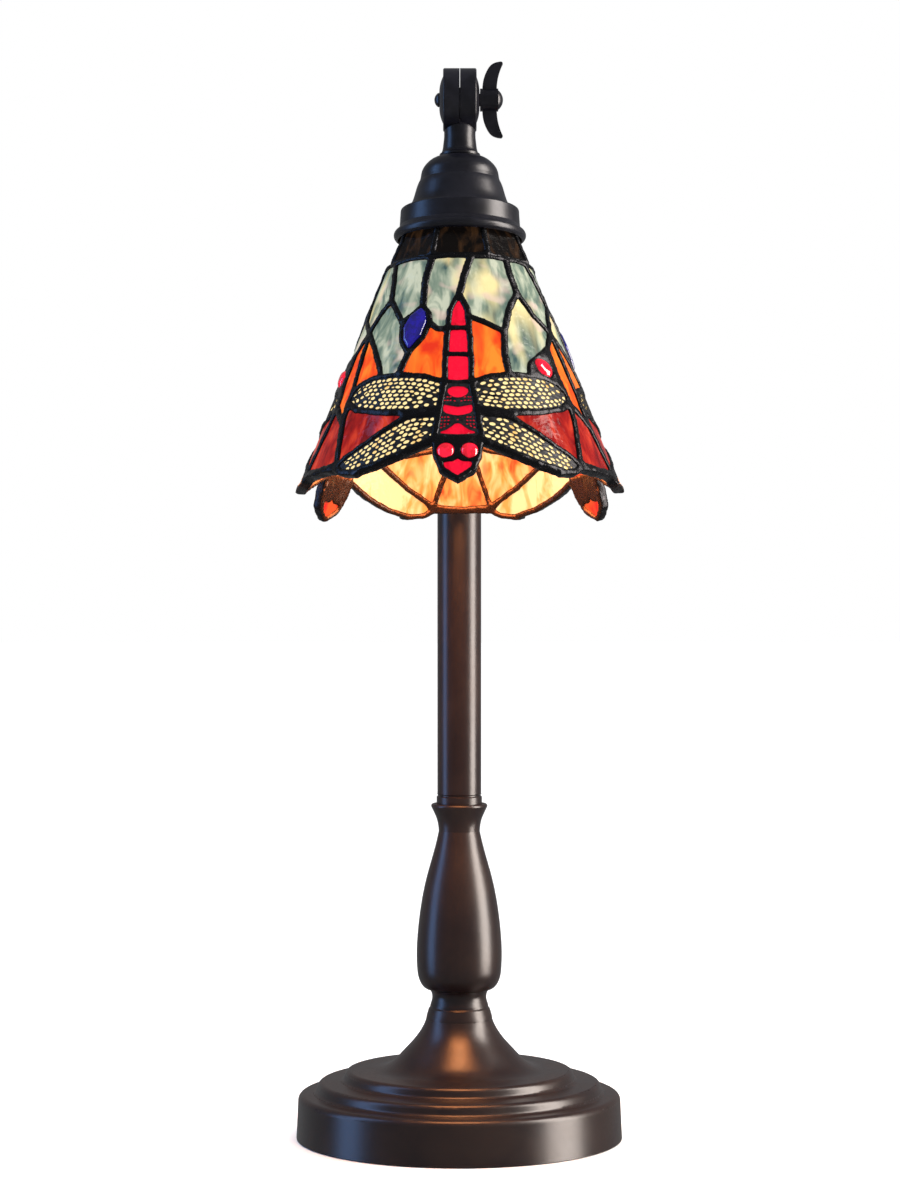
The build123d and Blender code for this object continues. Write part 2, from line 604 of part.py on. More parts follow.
crown_windows = [crown_prism(side, LEAD / 2 - SEAT_GAP) for side in range(CROWN_SIDES)]
with BuildPart() as crown_came:
    add(crown_wall(2.8))
    add(crown_windows, mode=Mode.SUBTRACT)
save(crown_came, "crown_came")

with BuildPart() as crown_plate:
    with BuildSketch(HEAD.offset(-PLATE_BOTTOM)):
        RegularPolygon(radius=26.9, side_count=CROWN_SIDES, rotation=HALF_SIDE)
        Circle(THREAD_RADIUS + 0.1, mode=Mode.SUBTRACT)
    extrude(amount=PLATE_BOTTOM - PLATE_TOP)
save(crown_plate, "crown_plate")

# ---------------------------------------------------------------- cone of the shade
# The pattern is drawn once, for one dragonfly, as points on the cone: (degrees round from
# the dragonfly's back, millimetres below the top of the cone along the axis).


def mirrored(points):
    return [(-angle, drop) for angle, drop in reversed(points)]


SKY_TOP = 2.3                   # seam between the crown and the cone
JOINT = (60.5, 37)              # where five solder lines meet between two dragonflies
JOINT_LEFT = (JOINT[0] - SPREAD, JOINT[1])
TAIL_TIP = (0, 22.5)
TAIL_SIDE = [(4.9, 30.4), (5.5, 39.6), (6.0, 53), (5.5, 67)]
THORAX_SIDE = [(5.5, 67), (6.9, 78), (7.6, 86), (8.4, 94.6)]
WING_TOP = [(5.5, 67), (15, 63.6), (23.5, 62.3), (34, 61.8), (42, 62), (50.5, 64), (54.8, 67.6)]
WING_BOTTOM = [(55.3, 72), (48, 76.5), (35, 79.8), (20, 81.2), (7.1, 80)]
HIND_TOP = [(7.5, 83.2), (19, 83.2), (27, 87.8), (36.7, 95), (45, 100.6)]
HIND_BOTTOM = [(48.4, 104.6), (45, 107.4), (39.5, 108.4), (30, 105.8), (20, 101.2), (8.4, 95)]
HEAD_SIDE = [(8.4, 95), (7.6, 102.5), (5.2, 109.6), (0, 114)]
WING_RIGHT = WING_TOP + WING_BOTTOM
HIND_RIGHT = HIND_TOP + HIND_BOTTOM
RUBY_RIGHT = [(19, 82.4), (35, 80), (48, 76.7), (54.6, 73.4), (54, 82), (48.6, 103.4), (45, 100.6),
              (36.7, 95), (27, 87.8)]
BLUE_JEWEL = [(-21.4, 28.2), (-18, 31), (-16.2, 36.2), (-18.6, 43.6), (-25.2, 51), (-30, 45.2),
              (-31.8, 39), (-28.6, 32.4)]

PATTERN = {
    "sky_glass": [
        [(-58.8, SKY_TOP), (-20.8, SKY_TOP), (-23.2, 15.7), (-21.4, 28.2), (-28.6, 32.4), (-32.6, 35.2),
         (-47, 22.7), (-51, 13)],
        [(-20.8, SKY_TOP), (9.3, SKY_TOP), (3.4, 13), TAIL_TIP, (-4.9, 30.4), (-5.6, 40), (-11.4, 39.8),
         (-16.2, 36.2), (-18, 31), (-21.4, 28.2), (-23.2, 15.7)],
        [(9.3, SKY_TOP), (38.9, SKY_TOP), (38.5, 9.8), (40.5, 19.8), (31, 28.5), (25, 40.5), (5.2, 33.6),
         (4.9, 30.4), TAIL_TIP, (3.4, 13)],
        [(38.9, SKY_TOP), (61.2, SKY_TOP), (69, 13), (73, 22.7), (66, 28.5), JOINT, (49, 30), (40.5, 19.8),
         (38.5, 9.8)],
        [JOINT_LEFT, (-54, 28.5), (-47, 22.7), (-32.6, 35.2), (-31.8, 39), (-30, 45.2), (-25.2, 51),
         (-28.2, 62.1), (-37.5, 61.8), (-41.5, 55), (-50, 45)],
        [(40.5, 19.8), (49, 30), JOINT, (52.5, 46), (36, 55.6), (34, 61.8), (23.5, 62.3), (22.8, 52),
         (25, 40.5), (31, 28.5)],
    ],
    "orange_glass": [
        [(-16.2, 36.2), (-11.4, 39.8), (-5.6, 40), (-6.0, 53), (-5.5, 67), (-15, 63.6), (-28.2, 62.1),
         (-25.2, 51), (-18.6, 43.6)],
        [(5.2, 33.6), (25, 40.5), (22.8, 52), (23.5, 62.3), (15, 63.6), (5.5, 67), (6.0, 53), (5.5, 39.6)],
        [JOINT_LEFT, (-50, 45), (-41.5, 55), (-37.5, 61.8), (-42, 62), (-50.5, 64), (-54.8, 67.6)],
        [JOINT, (52.5, 46), (52.6, 61), (54.8, 67.6), (55.4, 72.6), (65.6, 81.6), (64.7, 72), (65.2, 67.6)],
    ],
    "crimson_glass": [
        RUBY_RIGHT,
        mirrored(RUBY_RIGHT),
        [(55.2, 73.6), (65.6, 82.6), (71.4, 103.4), (60, 104.2), (48.6, 103.4), (54, 82)],
    ],
    "wing_glass": [WING_RIGHT, mirrored(WING_RIGHT), HIND_RIGHT, mirrored(HIND_RIGHT)],
    "body_glass": [
        [TAIL_TIP] + TAIL_SIDE[:2] + mirrored(TAIL_SIDE[:2]),
        TAIL_SIDE[1:3] + mirrored(TAIL_SIDE[1:3]),
        TAIL_SIDE[2:] + mirrored(TAIL_SIDE[2:]),
        THORAX_SIDE + mirrored(THORAX_SIDE),
        [(-6.4, 105.4), (-2, 105.2), (0, 103.4), (2, 105.2), (6.4, 105.4), (5.2, 109.6), (0, 114.4),
         (-5.2, 109.6)],
    ],
    "blue_jewel": [BLUE_JEWEL],
}
EYES = [(4.2, 101), (-4.2, 101)]
EYE_RADIUS = 3.8
RED_JEWEL = (44, 56.8)
RED_JEWEL_RADII = (5.2, 4.1)
RED_JEWEL_LEAN = -40            # degrees from level
JEWEL_PROUD = 3.2               # how far the cabochons rise above the middle of the glass

# The open air below the scalloped edge, in two outlines that overlap.
WING_EDGE = [(8.4, 95), (20, 101.2), (30, 105.8), (38, 108)]
AIR_LEVEL = 130
UNDER_HEAD = (mirrored(WING_EDGE) + [(-angle, drop) for angle, drop in HEAD_SIDE[1:]]
              + list(reversed(HEAD_SIDE[1:3])) + WING_EDGE + [(46, AIR_LEVEL), (-46, AIR_LEVEL)])
UNDER_JOIN = [(20, AIR_LEVEL), (31, 110.6), (39.5, 108.4), (45, 107.4), (49, 104.8), (60, 104.6),
              (71, 104.8), (75, 107.4), (80.5, 108.4), (89, 110.6), (100, AIR_LEVEL)]


def cone_point(angle, drop):
    radius = SHADE_TOP_RADIUS + SHADE_SLOPE * drop
    turn = radians(angle + SHADE_TURN)
    return HEAD.from_local_coords(Vector(radius * sin(turn), -radius * cos(turn), -SHADE_TOP_S - drop))


def cone_plane(angle, drop):
    """The plane that touches the cone at a point of the pattern, facing outwards."""
    turn = radians(angle + SHADE_TURN)
    across = HEAD.from_local_coords(Vector(cos(turn), sin(turn), 0)) - PIVOT
    outwards = HEAD.from_local_coords(Vector(sin(turn), -cos(turn), SHADE_SLOPE)) - PIVOT
    return Plane(cone_point(angle, drop), x_dir=across, z_dir=outwards)


def pane_prism(outline, gap, reach=12):
    """A prism square to the glass, through an outline drawn in by gap."""
    angles = [angle for angle, drop in outline]
    drops = [drop for angle, drop in outline]
    plane = cone_plane((min(angles) + max(angles)) / 2, (min(drops) + max(drops)) / 2)
    corners = [plane.to_local_coords(cone_point(*point)) for point in outline]
    with BuildPart() as prism:
        with BuildSketch(plane):
            Polygon(*drawn_in(corners, gap), align=None)
        extrude(amount=reach, both=True)
    return prism.part


def half_lead(kind):
    return (BODY_LEAD if kind == "body_glass" else LEAD) / 2


def cabochon(place, radii, lean, play=0.0):
    """A domed round or oval jewel standing out of the cone."""
    with BuildPart() as jewel:
        with BuildSketch(cone_plane(*place).offset(-GLASS / 2 - play)):
            Ellipse(radii[0] + play, radii[1] + play, rotation=lean)
        extrude(amount=GLASS / 2 + JEWEL_PROUD + play)
        if not play:
            rim = jewel.faces().sort_by(lambda face: (face.center() - cone_point(*place)).dot(
                cone_plane(*place).z_dir))[-1].edges()
            fillet(rim, radius=min(radii) * 0.6)
    return jewel.part


def cone_wall(low, high, top=SKY_TOP - 1.55):
    """A hollow cone between two distances from the middle of the glass."""
    bottom = 118
    stretch = (1 + SHADE_SLOPE ** 2) ** 0.5
    radius_top = SHADE_TOP_RADIUS + SHADE_SLOPE * top
    radius_bottom = SHADE_TOP_RADIUS + SHADE_SLOPE * bottom
    with BuildPart() as wall:
        with BuildSketch(HEAD_SECTION):
            Polygon(*down((radius_top + low * stretch, SHADE_TOP_S + top),
                          (radius_top + high * stretch, SHADE_TOP_S + top),
                          (radius_bottom + high * stretch, SHADE_TOP_S + bottom),
                          (radius_bottom + low * stretch, SHADE_TOP_S + bottom)), align=None)
        revolve(axis=HEAD_AXIS)
    return wall.part


def along(line, share):
    """The point at a share of the way along a row of pattern points."""
    place = share * (len(line) - 1)
    first = min(int(place), len(line) - 2)
    part = place - first
    return tuple(a + (b - a) * part for a, b in zip(line[first], line[first + 1]))


def filigree_cells(upper_edge, lower_edge, columns=8, rows=3):
    """Prisms for the open cells of a wing, laid between its two long edges."""
    cells = []
    for column in range(columns):
        for row in range(rows):
            start = 0.08 + 0.84 * (column + 0.14 + 0.1 * (row % 2)) / columns
            end = start + 0.84 * 0.66 / columns
            high = 0.14 + 0.76 * row / rows
            low = high + 0.76 * 0.62 / rows
            cell = []
            for share, depth in ((start, high), (end, high), (end, low), (start, low)):
                above = along(upper_edge, share)
                below = along(lower_edge, share)
                cell.append(tuple(a + (b - a) * depth for a, b in zip(above, below)))
            cells.append(pane_prism(cell, 0))
    return cells


# Each kind of glass is made for the front dragonfly and turned about the head for the others.
SIDES = {"front": 0, "right": SPREAD, "left": -SPREAD}
FILIGREE_LOW = 1.53
FILIGREE_HIGH = 2.03
front_pieces = {}
for kind, outlines in PATTERN.items():
    prisms = [pane_prism(outline, half_lead(kind)) for outline in outlines]
    with BuildPart() as panes:
        add(cone_wall(-GLASS / 2, JEWEL_PROUD if kind == "blue_jewel" else GLASS / 2))
        add(prisms, mode=Mode.INTERSECT)
    front_pieces[kind] = panes.part

eyes = [cabochon(place, (EYE_RADIUS, EYE_RADIUS), 0) for place in EYES]
with BuildPart() as red_cabochons:
    add(eyes)
    add(cabochon(RED_JEWEL, RED_JEWEL_RADII, RED_JEWEL_LEAN))
front_pieces["red_cabochons"] = red_cabochons.part

wing_sheets = [pane_prism(outline, LEAD / 2 + SEAT_GAP) for outline in PATTERN["wing_glass"]]
WING_LOWER_EDGE = list(reversed(WING_BOTTOM))
HIND_LOWER_EDGE = list(reversed(HIND_BOTTOM))
cells = (filigree_cells(WING_TOP, WING_LOWER_EDGE) + filigree_cells(HIND_TOP, HIND_LOWER_EDGE)
         + filigree_cells(mirrored(WING_TOP)[::-1], mirrored(WING_LOWER_EDGE)[::-1])
         + filigree_cells(mirrored(HIND_TOP)[::-1], mirrored(HIND_LOWER_EDGE)[::-1]))
with BuildPart() as wing_filigree:
    add(cone_wall(FILIGREE_LOW, FILIGREE_HIGH))
    add(wing_sheets, mode=Mode.INTERSECT)
    add(cells, mode=Mode.SUBTRACT)

THORAX_OPENINGS = [
    [(-4.0, 69.6), (4.0, 69.6), (4.2, 72.4), (0, 74.6), (-4.2, 72.4)],
    [(-5.0, 79.2), (5.0, 79.2), (5.0, 82.2), (-5.0, 82.2)],
    [(-5.9, 92.2), (-5.2, 90.6), (0, 88.2), (5.2, 90.6), (5.9, 92.2)],
]
thorax_sheet = pane_prism(PATTERN["body_glass"][3], half_lead("body_glass") + SEAT_GAP)
thorax_openings = [pane_prism(outline, 0) for outline in THORAX_OPENINGS]
with BuildPart() as thorax_filigree:
    add(cone_wall(FILIGREE_LOW, FILIGREE_HIGH))
    add(thorax_sheet, mode=Mode.INTERSECT)
    add(thorax_openings, mode=Mode.SUBTRACT)

with BuildPart() as front_filigree:
    add(wing_filigree.part)
    add(thorax_filigree.part)
front_pieces["filigree"] = front_filigree.part

for kind, front_piece in front_pieces.items():
    if kind in ("blue_jewel", "red_cabochons"):
        continue
    for side, turn in SIDES.items():
        with BuildPart() as piece:
            add(front_piece.rotate(HEAD_AXIS, turn))
        save(piece, f"{side}_{kind}")

# The jewels of all three dragonflies are alike, so each kind is one group.
with BuildPart() as blue_jewels:
    add([front_pieces["blue_jewel"].rotate(HEAD_AXIS, turn) for turn in SIDES.values()])
save(blue_jewels, "blue_jewels")

with BuildPart() as all_red_cabochons:
    add([front_pieces["red_cabochons"].rotate(HEAD_AXIS, turn) for turn in SIDES.values()])
save(all_red_cabochons, "red_cabochons")

windows = [pane_prism(outline, half_lead(kind) - SEAT_GAP) for kind, outlines in PATTERN.items()
           for outline in outlines]
windows += [cabochon(place, (EYE_RADIUS, EYE_RADIUS), 0, SEAT_GAP) for place in EYES]
windows += [cabochon(RED_JEWEL, RED_JEWEL_RADII, RED_JEWEL_LEAN, SEAT_GAP)]
windows += [pane_prism(UNDER_HEAD, LEAD / 2, reach=24), pane_prism(UNDER_JOIN, LEAD / 2, reach=24)]
with BuildPart() as shade_came:
    add(cone_wall(-CAME / 2, CAME / 2))
    for turn in SIDES.values():
        add([window.rotate(HEAD_AXIS, turn) for window in windows], mode=Mode.SUBTRACT)
save(shade_came, "shade_came")
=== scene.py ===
"""A stained glass table lamp with a dragonfly shade, modelled on its mechanical frame."""

import json
import math
import random

import bpy
from bpy.props import FloatProperty, FloatVectorProperty, IntProperty, PointerProperty
from bpy.types import Operator, Panel, PropertyGroup
from mathutils import Matrix, Vector


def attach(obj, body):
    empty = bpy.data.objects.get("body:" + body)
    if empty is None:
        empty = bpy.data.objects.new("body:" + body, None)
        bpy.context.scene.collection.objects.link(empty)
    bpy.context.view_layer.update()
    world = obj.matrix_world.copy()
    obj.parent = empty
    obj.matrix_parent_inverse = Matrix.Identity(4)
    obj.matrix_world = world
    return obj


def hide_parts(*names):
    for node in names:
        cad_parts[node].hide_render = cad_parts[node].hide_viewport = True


bl_info = {
    "name": "Dragonfly Table Lamp",
    "version": (1, 0, 0),
    "blender": (4, 5, 0),
    "location": "View3D > Sidebar > Lamp",
    "description": "Gives the frame of a table lamp its leaded glass shade, metal finishes and stage",
    "category": "Add Mesh",
}

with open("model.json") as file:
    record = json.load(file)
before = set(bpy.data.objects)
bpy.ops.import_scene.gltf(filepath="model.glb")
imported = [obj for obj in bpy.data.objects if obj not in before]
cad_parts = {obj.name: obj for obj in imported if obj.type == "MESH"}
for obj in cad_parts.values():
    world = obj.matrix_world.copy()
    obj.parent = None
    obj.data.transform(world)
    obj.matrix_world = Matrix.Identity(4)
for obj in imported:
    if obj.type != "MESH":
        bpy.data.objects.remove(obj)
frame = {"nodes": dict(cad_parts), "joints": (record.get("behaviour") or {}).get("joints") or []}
NODES = frame["nodes"]
MM = 0.001
WELD = 0.002 * MM               # corners nearer than this are one corner

# ---------------------------------------------------------------- places on the head
# The head turns about its pivot.  Its own axes: +Z up along the neck, -Y its front.

HEAD_LEAN = math.radians(9.0)
PIVOT = Vector(next(joint["pos_m"] for joint in frame["joints"] if joint["name"] == "head_tilt"))
HEAD = Matrix.Translation(PIVOT) @ Matrix.Rotation(-HEAD_LEAN, 4, "X")
HEAD_FROM_WORLD = HEAD.inverted()

# The cone of the shade, through the middle of its glass.
CONE_TOP = 82.8 * MM            # from the pivot down to the top of the cone
CONE_TOP_RADIUS = 32.4 * MM
CONE_SLOPE = 0.391              # growth of the radius along the axis
CONE_TURN = math.radians(-1.0)  # the dragonflies stand this far off the lamp's front
CONE_SINE = CONE_SLOPE / math.hypot(1, CONE_SLOPE)
CONE_COSINE = 1 / math.hypot(1, CONE_SLOPE)
SIDES = {"front": 0.0, "right": math.radians(120), "left": math.radians(-120)}

# The dragonfly, as (degrees round from its back, millimetres below the top of the cone).
FORE_TOP = [(5.5, 67), (15, 63.6), (23.5, 62.3), (34, 61.8), (42, 62), (50.5, 64), (54.8, 67.6)]
FORE_BOTTOM = [(55.3, 72), (48, 76.5), (35, 79.8), (20, 81.2), (7.1, 80)]
HIND_TOP = [(7.5, 83.2), (19, 83.2), (27, 87.8), (36.7, 95), (45, 100.6)]
HIND_BOTTOM = [(48.4, 104.6), (45, 107.4), (39.5, 108.4), (30, 105.8), (20, 101.2), (8.4, 95)]
THORAX = [(5.5, 67), (6.9, 78), (7.6, 86), (8.4, 94.6)]


def flat_place(degrees, drop):
    """A point of the cone, given by angle and drop in millimetres, on the unrolled cone."""
    slant = (CONE_TOP_RADIUS + CONE_SLOPE * drop * MM) / CONE_SINE
    turn = math.radians(degrees) * CONE_SINE
    return Vector((slant * math.sin(turn), -slant * math.cos(turn)))


def rolled(x, y, rise, side_turn):
    """The place in the lamp of a point on the unrolled cone, raised above the glass's middle."""
    slant = math.hypot(x, y)
    turn = math.atan2(x, -y) / CONE_SINE + side_turn + CONE_TURN
    radius = slant * CONE_SINE
    below = CONE_TOP + (radius - CONE_TOP_RADIUS) / CONE_SLOPE
    outwards = radius + rise * CONE_COSINE
    return HEAD @ Vector((outwards * math.sin(turn), -outwards * math.cos(turn),
                          -below + rise * CONE_SINE))


def mirrored(points):
    """The same outline on the dragonfly's other side, still in order round it."""
    return [(-degrees, drop) for degrees, drop in reversed(points)]


# ---------------------------------------------------------------- sizes and colours

def millimetres(name, description, value, low=0.0, high=50.0):
    return FloatProperty(name=name, description=description, default=value * MM, min=low * MM,
                         max=high * MM, subtype="DISTANCE", unit="LENGTH", precision=5)


def colour(name, description, value):
    return FloatVectorProperty(name=name, description=description, default=value, size=3, min=0.0,
                               max=1.0, subtype="COLOR")


def factor(name, description, value, high=1.0):
    return FloatProperty(name=name, description=description, default=value, min=0.0, max=high)


class LampSolderSizes(PropertyGroup):
    """Sizes of the solder beads between the panes."""
    grain: millimetres("Grain", "Side of the cubes that the bead's surface is rebuilt from", 0.62)
    swell: millimetres("Swell", "How far the molten bead stands out over the foil", 0.42)
    lump_height: millimetres("Lump height", "Unevenness left by the soldering iron", 0.7)
    lump_length: millimetres("Lump length", "Distance from one lump to the next", 3.4)


class LampFiligreeSizes(PropertyGroup):
    """Sizes of the pierced sheets that lie over the dragonfly's wings and back."""
    rise: millimetres("Rise", "From the middle of the glass to the middle of the sheet", 1.8)
    back_rise: millimetres("Back rise", "How far the sheet on the back lies over the wings'", 0.14)
    thickness: millimetres("Thickness", "Thickness of the pierced sheet", 0.34)
    edge: millimetres("Edge", "Rounding of the sheet's cut edges", 0.05)
    row_pitch: millimetres("Row pitch", "Distance between two rows of cells", 2.2)
    column_pitch: millimetres("Column pitch", "Distance between two cells of a row", 3.0)
    cell_length: millimetres("Cell length", "Length of an oval cell", 3.1)
    cell_width: millimetres("Cell width", "Width of an oval cell", 1.9)
    bar: millimetres("Bar", "Least metal between two cells", 0.3)
    border: millimetres("Border", "From the middle of the solder line to the cells", 1.35)
    seed: IntProperty(name="Seed", description="Chooses how the cells vary", default=7, min=0)


class LampGlassColours(PropertyGroup):
    """Colours of the glass with the lamp lit."""
    sky_deep: colour("Sky shade", "Dark wisps of the sky glass", (0.055, 0.100, 0.098))
    sky_middle: colour("Sky", "Body of the sky glass", (0.21, 0.27, 0.205))
    sky_pale: colour("Sky light", "Pale wisps of the sky glass", (0.52, 0.55, 0.42))
    sky_cream: colour("Sky cream", "Milky yellow patches of the sky glass", (0.92, 0.76, 0.36))
    sky_rose: colour("Sky rose", "Faint pink patches of the sky glass", (0.72, 0.53, 0.46))
    flame_deep: colour("Flame red", "Red streaks of the orange glass", (0.74, 0.035, 0.012))
    flame_middle: colour("Flame", "Body of the orange glass", (0.88, 0.085, 0.012))
    flame_pale: colour("Flame amber", "Amber streaks of the orange glass", (1.0, 0.24, 0.025))
    crimson_deep: colour("Crimson shade", "Dark streaks of the crimson glass", (0.16, 0.005, 0.007))
    crimson_middle: colour("Crimson", "Body of the crimson glass", (0.34, 0.012, 0.010))
    crimson_pale: colour("Crimson light", "Light streaks of the crimson glass", (0.60, 0.045, 0.02))
    ruby: colour("Ruby", "The dragonfly's body", (0.86, 0.006, 0.035))
    ruby_deep: colour("Ruby shade", "Thick places of the ruby glass", (0.50, 0.002, 0.014))
    cream: colour("Wing cream", "The glass behind the wings", (1.0, 0.78, 0.36))
    cream_deep: colour("Wing amber", "Warm wisps behind the wings", (0.90, 0.55, 0.17))
    cobalt: colour("Cobalt", "The blue jewel", (0.005, 0.002, 0.20))
    smoke: colour("Smoke", "The dark glass of the crown", (0.006, 0.0045, 0.004))
    smoke_pale: colour("Smoke light", "Light streaks of the crown's glass", (0.060, 0.028, 0.012))
    lit_cream: colour("Lit cream", "Cream glass seen from the bulb's side", (0.82, 0.60, 0.30))
    lit_amber: colour("Lit amber", "Orange glass seen from the bulb's side", (0.74, 0.29, 0.07))
    lit_rust: colour("Lit rust", "Red streaks seen from the bulb's side", (0.55, 0.075, 0.02))
    glow: factor("Glow", "Light that comes through the glass", 0.92, high=5.0)


class LampMetalColours(PropertyGroup):
    """Colours of the metalwork."""
    bronze: colour("Bronze", "Oil-rubbed bronze of the foot and stem", (0.019, 0.010, 0.008))
    bronze_dark: colour("Bronze shade", "Darker mottling of the bronze", (0.012, 0.006, 0.006))
    black: colour("Blackened", "Knuckle, cup and wing nut", (0.004, 0.004, 0.007))
    black_rubbed: colour("Blackened light", "Mottling of the blackened metal", (0.008, 0.008, 0.013))
    patina: colour("Patina", "Black patina of the solder", (0.011, 0.011, 0.013))
    tin: colour("Tin", "Solder where the patina is thin", (0.09, 0.09, 0.10))
    copper: colour("Copper", "Solder on the bulb's side", (0.05, 0.024, 0.014))
    brass: colour("Brass", "Screw shell and contacts", (0.66, 0.46, 0.20))
    zinc: colour("Zinc", "Plated rod, nuts and washers", (0.48, 0.47, 0.45))
    iron: colour("Iron", "The weight in the foot", (0.10, 0.10, 0.105))


class LampStageSettings(PropertyGroup):
    """The floor, lights and camera."""
    floor: colour("Floor", "Plain pale floor", (0.88, 0.88, 0.88))
    backdrop: colour("Backdrop", "What the camera sees behind the lamp", (1.0, 1.0, 1.0))
    surround: factor("Surround", "Strength of the soft light from all round", 0.2, high=5.0)
    overhead: factor("Overhead", "Strength of the even light from above", 3.8, high=10.0)
    distance: FloatProperty(name="Distance", description="From the lamp's axis to the camera",
                            default=1.736, min=0.2, subtype="DISTANCE", unit="LENGTH")
    aside: FloatProperty(name="Aside", description="How far the camera stands to the side",
                         default=-0.0047, subtype="DISTANCE", unit="LENGTH")
    height: FloatProperty(name="Height", description="Height of the camera", default=0.3231,
                          subtype="DISTANCE", unit="LENGTH")
    lens: FloatProperty(name="Lens", description="Focal length in millimetres", default=102.7, min=10.0)
    fall: FloatProperty(name="Fall", description="Lens shift downwards, as a share of the height",
                        default=-0.0833)


# ---------------------------------------------------------------- modelling steps

def deselect_all():
    if bpy.context.mode != "OBJECT":
        bpy.ops.object.mode_set(mode="OBJECT")
    bpy.ops.object.select_all(action="DESELECT")


def make_active(piece):
    deselect_all()
    piece.select_set(True)
    bpy.context.view_layer.objects.active = piece


def linked(name, mesh):
    """Puts new data in the scene as the active piece."""
    piece = bpy.data.objects.new(name, mesh)
    bpy.context.scene.collection.objects.link(piece)
    make_active(piece)
    return piece


def weld(face_outwards=False):
    """Joins the active piece's doubled corners and, if asked, turns its faces outwards."""
    bpy.ops.object.mode_set(mode="EDIT")
    bpy.ops.mesh.select_all(action="SELECT")
    bpy.ops.mesh.remove_doubles(threshold=WELD)
    if face_outwards:
        bpy.ops.mesh.normals_make_consistent(inside=False)
    bpy.ops.object.mode_set(mode="OBJECT")


def merged_copy(node, name):
    """A copy of a frame node with its corners welded, ready to be shaped."""
    piece = linked(name, NODES[node].data.copy())
    piece.data.materials.clear()
    weld()
    return piece


def modify(piece, kind, **settings):
    """Adds one modifier to the active piece and applies it."""
    modifier = piece.modifiers.new(kind.title(), kind)
    for name, value in settings.items():
        setattr(modifier, name, value)
    bpy.ops.object.modifier_apply(modifier=modifier.name)


def lumps(name, size):
    """Soft cloudy unevenness for a displacement."""
    texture = bpy.data.textures.new(name, "CLOUDS")
    texture.noise_scale = size
    texture.noise_depth = 1
    return texture


def outwards_at(place):
    """The direction away from the head's axis, level with the shade's rim."""
    local = HEAD_FROM_WORLD @ place
    flat = Vector((local.x, local.y, 0)).normalized()
    return HEAD.to_3x3() @ flat


LIT_EDGE = 1.5                  # how sharply the outside of a piece turns into its lit side


def mark_lit_side(piece):
    """Writes to each point how far it faces the bulb: 0 outside, 1 inside."""
    mesh = piece.data
    marks = mesh.attributes.new("lit_side", "FLOAT", "POINT")
    for vertex in mesh.vertices:
        facing = vertex.normal.dot(outwards_at(vertex.co))
        marks.data[vertex.index].value = min(1.0, max(0.0, 0.5 - LIT_EDGE * facing))


def mark_panes(piece, seed):
    """Writes one number between 0 and 1 to each separate pane, as its place in the sheet."""
    mesh = piece.data
    neighbours = [[] for vertex in mesh.vertices]
    for edge in mesh.edges:
        first, second = edge.vertices
        neighbours[first].append(second)
        neighbours[second].append(first)
    chance = random.Random(seed)
    places = [None] * len(mesh.vertices)
    for start in range(len(places)):
        if places[start] is not None:
            continue
        cut = chance.random()
        places[start] = cut
        waiting = [start]
        while waiting:
            for near in neighbours[waiting.pop()]:
                if places[near] is None:
                    places[near] = cut
                    waiting.append(near)
    marks = mesh.attributes.new("pane", "FLOAT", "POINT")
    marks.data.foreach_set("value", places)


def finished(piece, material, slot, body, *nodes):
    """Gives a piece its material and its place in the frame."""
    piece.data.materials.clear()
    piece.data.materials.append(material)
    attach(piece, body)
    if nodes:
        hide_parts(*nodes)
    return piece


# ---------------------------------------------------------------- material building

def put(tree, kind, feeds=None, **settings):
    """Adds a node.  feeds maps its inputs to plain values or to other nodes' outputs."""
    node = tree.nodes.new(kind)
    for name, value in settings.items():
        setattr(node, name, value)
    for name, value in (feeds or {}).items():
        if isinstance(value, bpy.types.NodeSocket):
            tree.links.new(value, node.inputs[name])
        else:
            node.inputs[name].default_value = value
    return node


def opaque(rgb):
    return (rgb[0], rgb[1], rgb[2], 1.0)


def mixed(tree, share, first, second):
    """A colour between two others."""
    return put(tree, "ShaderNodeMix", {0: share, 6: first, 7: second}, data_type="RGBA").outputs[2]


def mask(tree, value, low, high, most=1.0):
    """0 below low, rising smoothly to most above high."""
    feeds = {"Value": value, "From Min": low, "From Max": high, "To Max": most}
    return put(tree, "ShaderNodeMapRange", feeds, interpolation_type="SMOOTHSTEP").outputs["Result"]


def ramp(tree, value, *stops):
    """A colour that runs through (place, colour) stops."""
    node = put(tree, "ShaderNodeValToRGB", {"Fac": value})
    elements = node.color_ramp.elements
    while len(elements) < len(stops):
        elements.new(1.0)
    for element, (place, rgb) in zip(elements, stops):
        element.position = place
        element.color = opaque(rgb)
    return node.outputs["Color"]


def noise(tree, place, scale, seed=None, detail=2.0, distortion=0.0):
    """A noise value.  Each seed gives a pattern of its own."""
    feeds = {"Vector": place, "Scale": scale, "Detail": detail, "Distortion": distortion}
    if seed is None:
        return put(tree, "ShaderNodeTexNoise", feeds).outputs["Fac"]
    feeds["W"] = seed
    return put(tree, "ShaderNodeTexNoise", feeds, noise_dimensions="4D").outputs["Fac"]


def new_group(name, inputs, outputs):
    """A new node group: (tree, its inputs, its outputs)."""
    tree = bpy.data.node_groups.new(name, "ShaderNodeTree")
    for socket_name, kind, value in inputs:
        socket = tree.interface.new_socket(socket_name, in_out="INPUT", socket_type=kind)
        socket.default_value = value
    for socket_name, kind in outputs:
        tree.interface.new_socket(socket_name, in_out="OUTPUT", socket_type=kind)
    return tree, tree.nodes.new("NodeGroupInput").outputs, tree.nodes.new("NodeGroupOutput").inputs


CUT_SPREAD = 83.0               # how far apart in their sheet two panes can be cut


